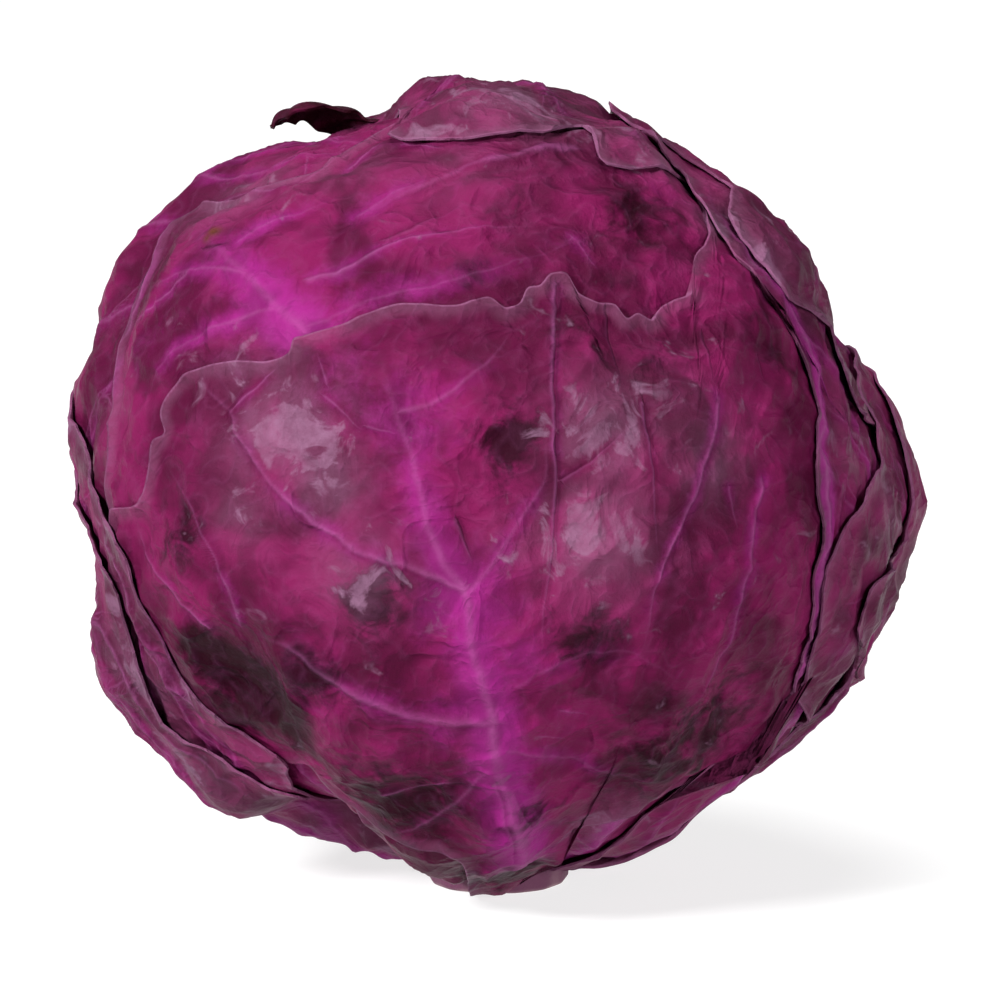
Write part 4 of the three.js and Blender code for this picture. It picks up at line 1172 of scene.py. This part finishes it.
right = leaf(
    "leaf_right",
    foot=around(58, FOOT),
    middle=around(72, -2),
    tip=around(76, 40),
    outline=[
        around(38, FOOT),
        *views(
            (39, -65), (49, -60), (58.5, -52), (60.5, -44), (62, -36), (63.5, -28), (65, -20),
            (67, -12), (66, -4), (66, 4), (67, 12), (66, 21), (63.5, 28), (61, 34), (57.5, 38),
            (52, 42), (48, 47.5), (45, 54.5), (41.5, 60.5), (38, 65.5),
        ),
        around(90, 68), around(112, 52), around(118, 15), around(112, -30), around(100, -60),
        around(80, FOOT),
    ],
    cells=190,
    room=2.3,
    tone=(0, 0.1, 0.25),
)
lay(right, grown_veins(right) + [
    line([(62.8, -39.8), (64.8, -29.8), (66.6, -20.8), (69.2, -9.8), (68, 3.2), (68.6, 12.2), (69, 16.2),
          (67.2, 25.2), (63.2, 34.6), (58.2, 39.8), (53.2, 45.8), (47.2, 56.2), (43.2, 63.2)],
         1.0, 0.9, 1.5, 3.2, 1.0),
])

upper_right = leaf(
    "leaf_upper_right",
    foot=around(118, FOOT),
    middle=around(112, 12),
    tip=around(100, 55),
    outline=[
        around(98, FOOT), around(90, -40), around(88, -12),
        *views(
            (80.5, 7), (75.5, 15), (72, 22.5), (70.5, 30), (61, 36.5), (58, 38.5), (52.5, 47.5),
            (49, 55), (46, 62),
        ),
        around(95, 70), around(140, 64), around(158, 40), around(162, 0), around(155, -45),
        around(138, FOOT),
    ],
    cells=180,
    room=0.5,
    waved=1.2,
    tone=(0, 0.1, 0.25),
)
lay(upper_right, grown_veins(upper_right))

right_low = leaf(
    "leaf_right_low",
    foot=around(84, FOOT),
    middle=around(92, -32),
    tip=around(104, 8),
    outline=[
        around(66, FOOT),
        *views(
            (51, -62), (60, -52), (62, -44), (64.2, -32), (66, -22), (70.5, -12), (75.5, -2), (79, 4),
        ),
        around(98, 16), around(118, 14), around(130, -10), around(128, -45), around(104, FOOT),
    ],
    cells=160,
    room=0.3,
    tone=(0, 0.1, 0.25),
)
lay(right_low, grown_veins(right_low))

far_right = leaf(
    "leaf_far_right",
    foot=around(112, FOOT),
    middle=around(112, -34),
    tip=around(128, 10),
    outline=[
        around(92, FOOT), around(78, -66),
        *views(
            (68, -45), (72.5, -41), (72, -36.5), (70.8, -31), (72.5, -25), (76.5, -19.5), (80.5, -13.5),
        ),
        around(92, 2), around(112, 14), around(138, 14), around(154, -8), around(152, -45),
        around(132, FOOT),
    ],
    cells=160,
    room=0.2,
    tone=(0, 0.1, 0.25),
)
lay(far_right, grown_veins(far_right))

# Back leaf
# The outermost leaf behind, laid last. It grows straight up from the stem, and its margin waves.

back = leaf(
    "leaf_back",
    foot=around(-168, FOOT),
    middle=around(-172, -22),
    tip=around(-170, 36),
    outline=[
        around(168, FOOT), around(148, -45), around(142, -5), around(152, 30), around(172, 46),
        around(-160, 44), around(-138, 26), around(-130, -8), around(-132, -45), around(-146, FOOT),
    ],
    cells=180,
    room=0.3,
    waved=1.6,
    tone=(0, 0.1, 0.1),
)
lay(back, grown_veins(back))

# Floor
# A wide matt white sheet that lies level under the head.

floor_paper = bpy.data.materials.new("matt_white_paper")
floor_paper.use_nodes = True
paper = floor_paper.node_tree.nodes["Principled BSDF"]
paper.inputs["Base Color"].default_value = paint("#9A9A9A")
paper.inputs["Roughness"].default_value = 0.95
paper.inputs["Specular IOR Level"].default_value = 0.0
paper.inputs["Emission Color"].default_value = (1.0, 1.0, 1.0, 1.0)
paper.inputs["Emission Strength"].default_value = 0.75

FLOOR_HALF = 6.0
floor_corners = [(x * FLOOR_HALF, y * FLOOR_HALF, 0.0) for x, y in ((-1, -1), (1, -1), (1, 1), (-1, 1))]
floor_mesh = bpy.data.meshes.new("floor")
floor_mesh.from_pydata(floor_corners, [], [(0, 1, 2, 3)])
floor_mesh.materials.append(floor_paper)
floor = bpy.data.objects.new("floor", floor_mesh)
bpy.context.scene.collection.objects.link(floor)

# Light
# Soft studio light: an even pale sky, a bright soft box to the left of the camera, a weaker one to its
# right and a wide one over the head.

SKY_STRENGTH = 0.18

sky = bpy.data.worlds.new("pale_sky")
sky.use_nodes = True
sky.node_tree.nodes["Background"].inputs["Color"].default_value = (1.0, 1.0, 1.0, 1.0)
sky.node_tree.nodes["Background"].inputs["Strength"].default_value = SKY_STRENGTH
bpy.context.scene.world = sky


def soft_box(name, place, size, power):
    """A round area light at a place in metres, turned to the head's middle."""
    light = bpy.data.lights.new(name, "AREA")
    light.shape = "DISK"
    light.size = size
    light.energy = power
    lamp = bpy.data.objects.new(name, light)
    lamp.location = place
    away = np.array([0.0, 0.0, HEAD_MIDDLE * MM]) - np.array(place)
    tilt = math.atan2(math.hypot(away[0], away[1]), -away[2])
    lamp.rotation_euler = (tilt, 0.0, math.atan2(away[1], away[0]) - math.pi / 2)
    bpy.context.scene.collection.objects.link(lamp)


soft_box("left_box", (-1.1, -1.1, 0.9), 0.35, 52.0)
soft_box("right_box", (1.1, -1.5, 0.5), 0.5, 20.0)
soft_box("top_box", (0.0, 0.1, 1.6), 0.9, 22.0)

# Camera
# It looks at the head from the front, 12 degrees above level, from far enough that the head shows
# nearly without perspective. The picture is 200 mm tall at the head.

CAMERA_DISTANCE = 4.0
PICTURE_HEIGHT = 0.2
PICTURE_LOW = 0.0038
SENSOR_HEIGHT = 36.0

camera_data = bpy.data.cameras.new("camera")
camera_data.sensor_fit = "VERTICAL"
camera_data.sensor_height = SENSOR_HEIGHT
camera_data.lens = SENSOR_HEIGHT * CAMERA_DISTANCE / PICTURE_HEIGHT
camera = bpy.data.objects.new("camera", camera_data)
aim = np.array([0.0, 0.0, HEAD_MIDDLE * MM]) - VIEW_UP * PICTURE_LOW
camera.location = aim + VIEW_BACK * CAMERA_DISTANCE
camera.rotation_euler = (math.pi / 2 - VIEW_ELEVATION, 0.0, 0.0)
bpy.context.scene.collection.objects.link(camera)
bpy.context.scene.camera = camera
bpy.context.scene.view_settings.view_transform = "Standard"
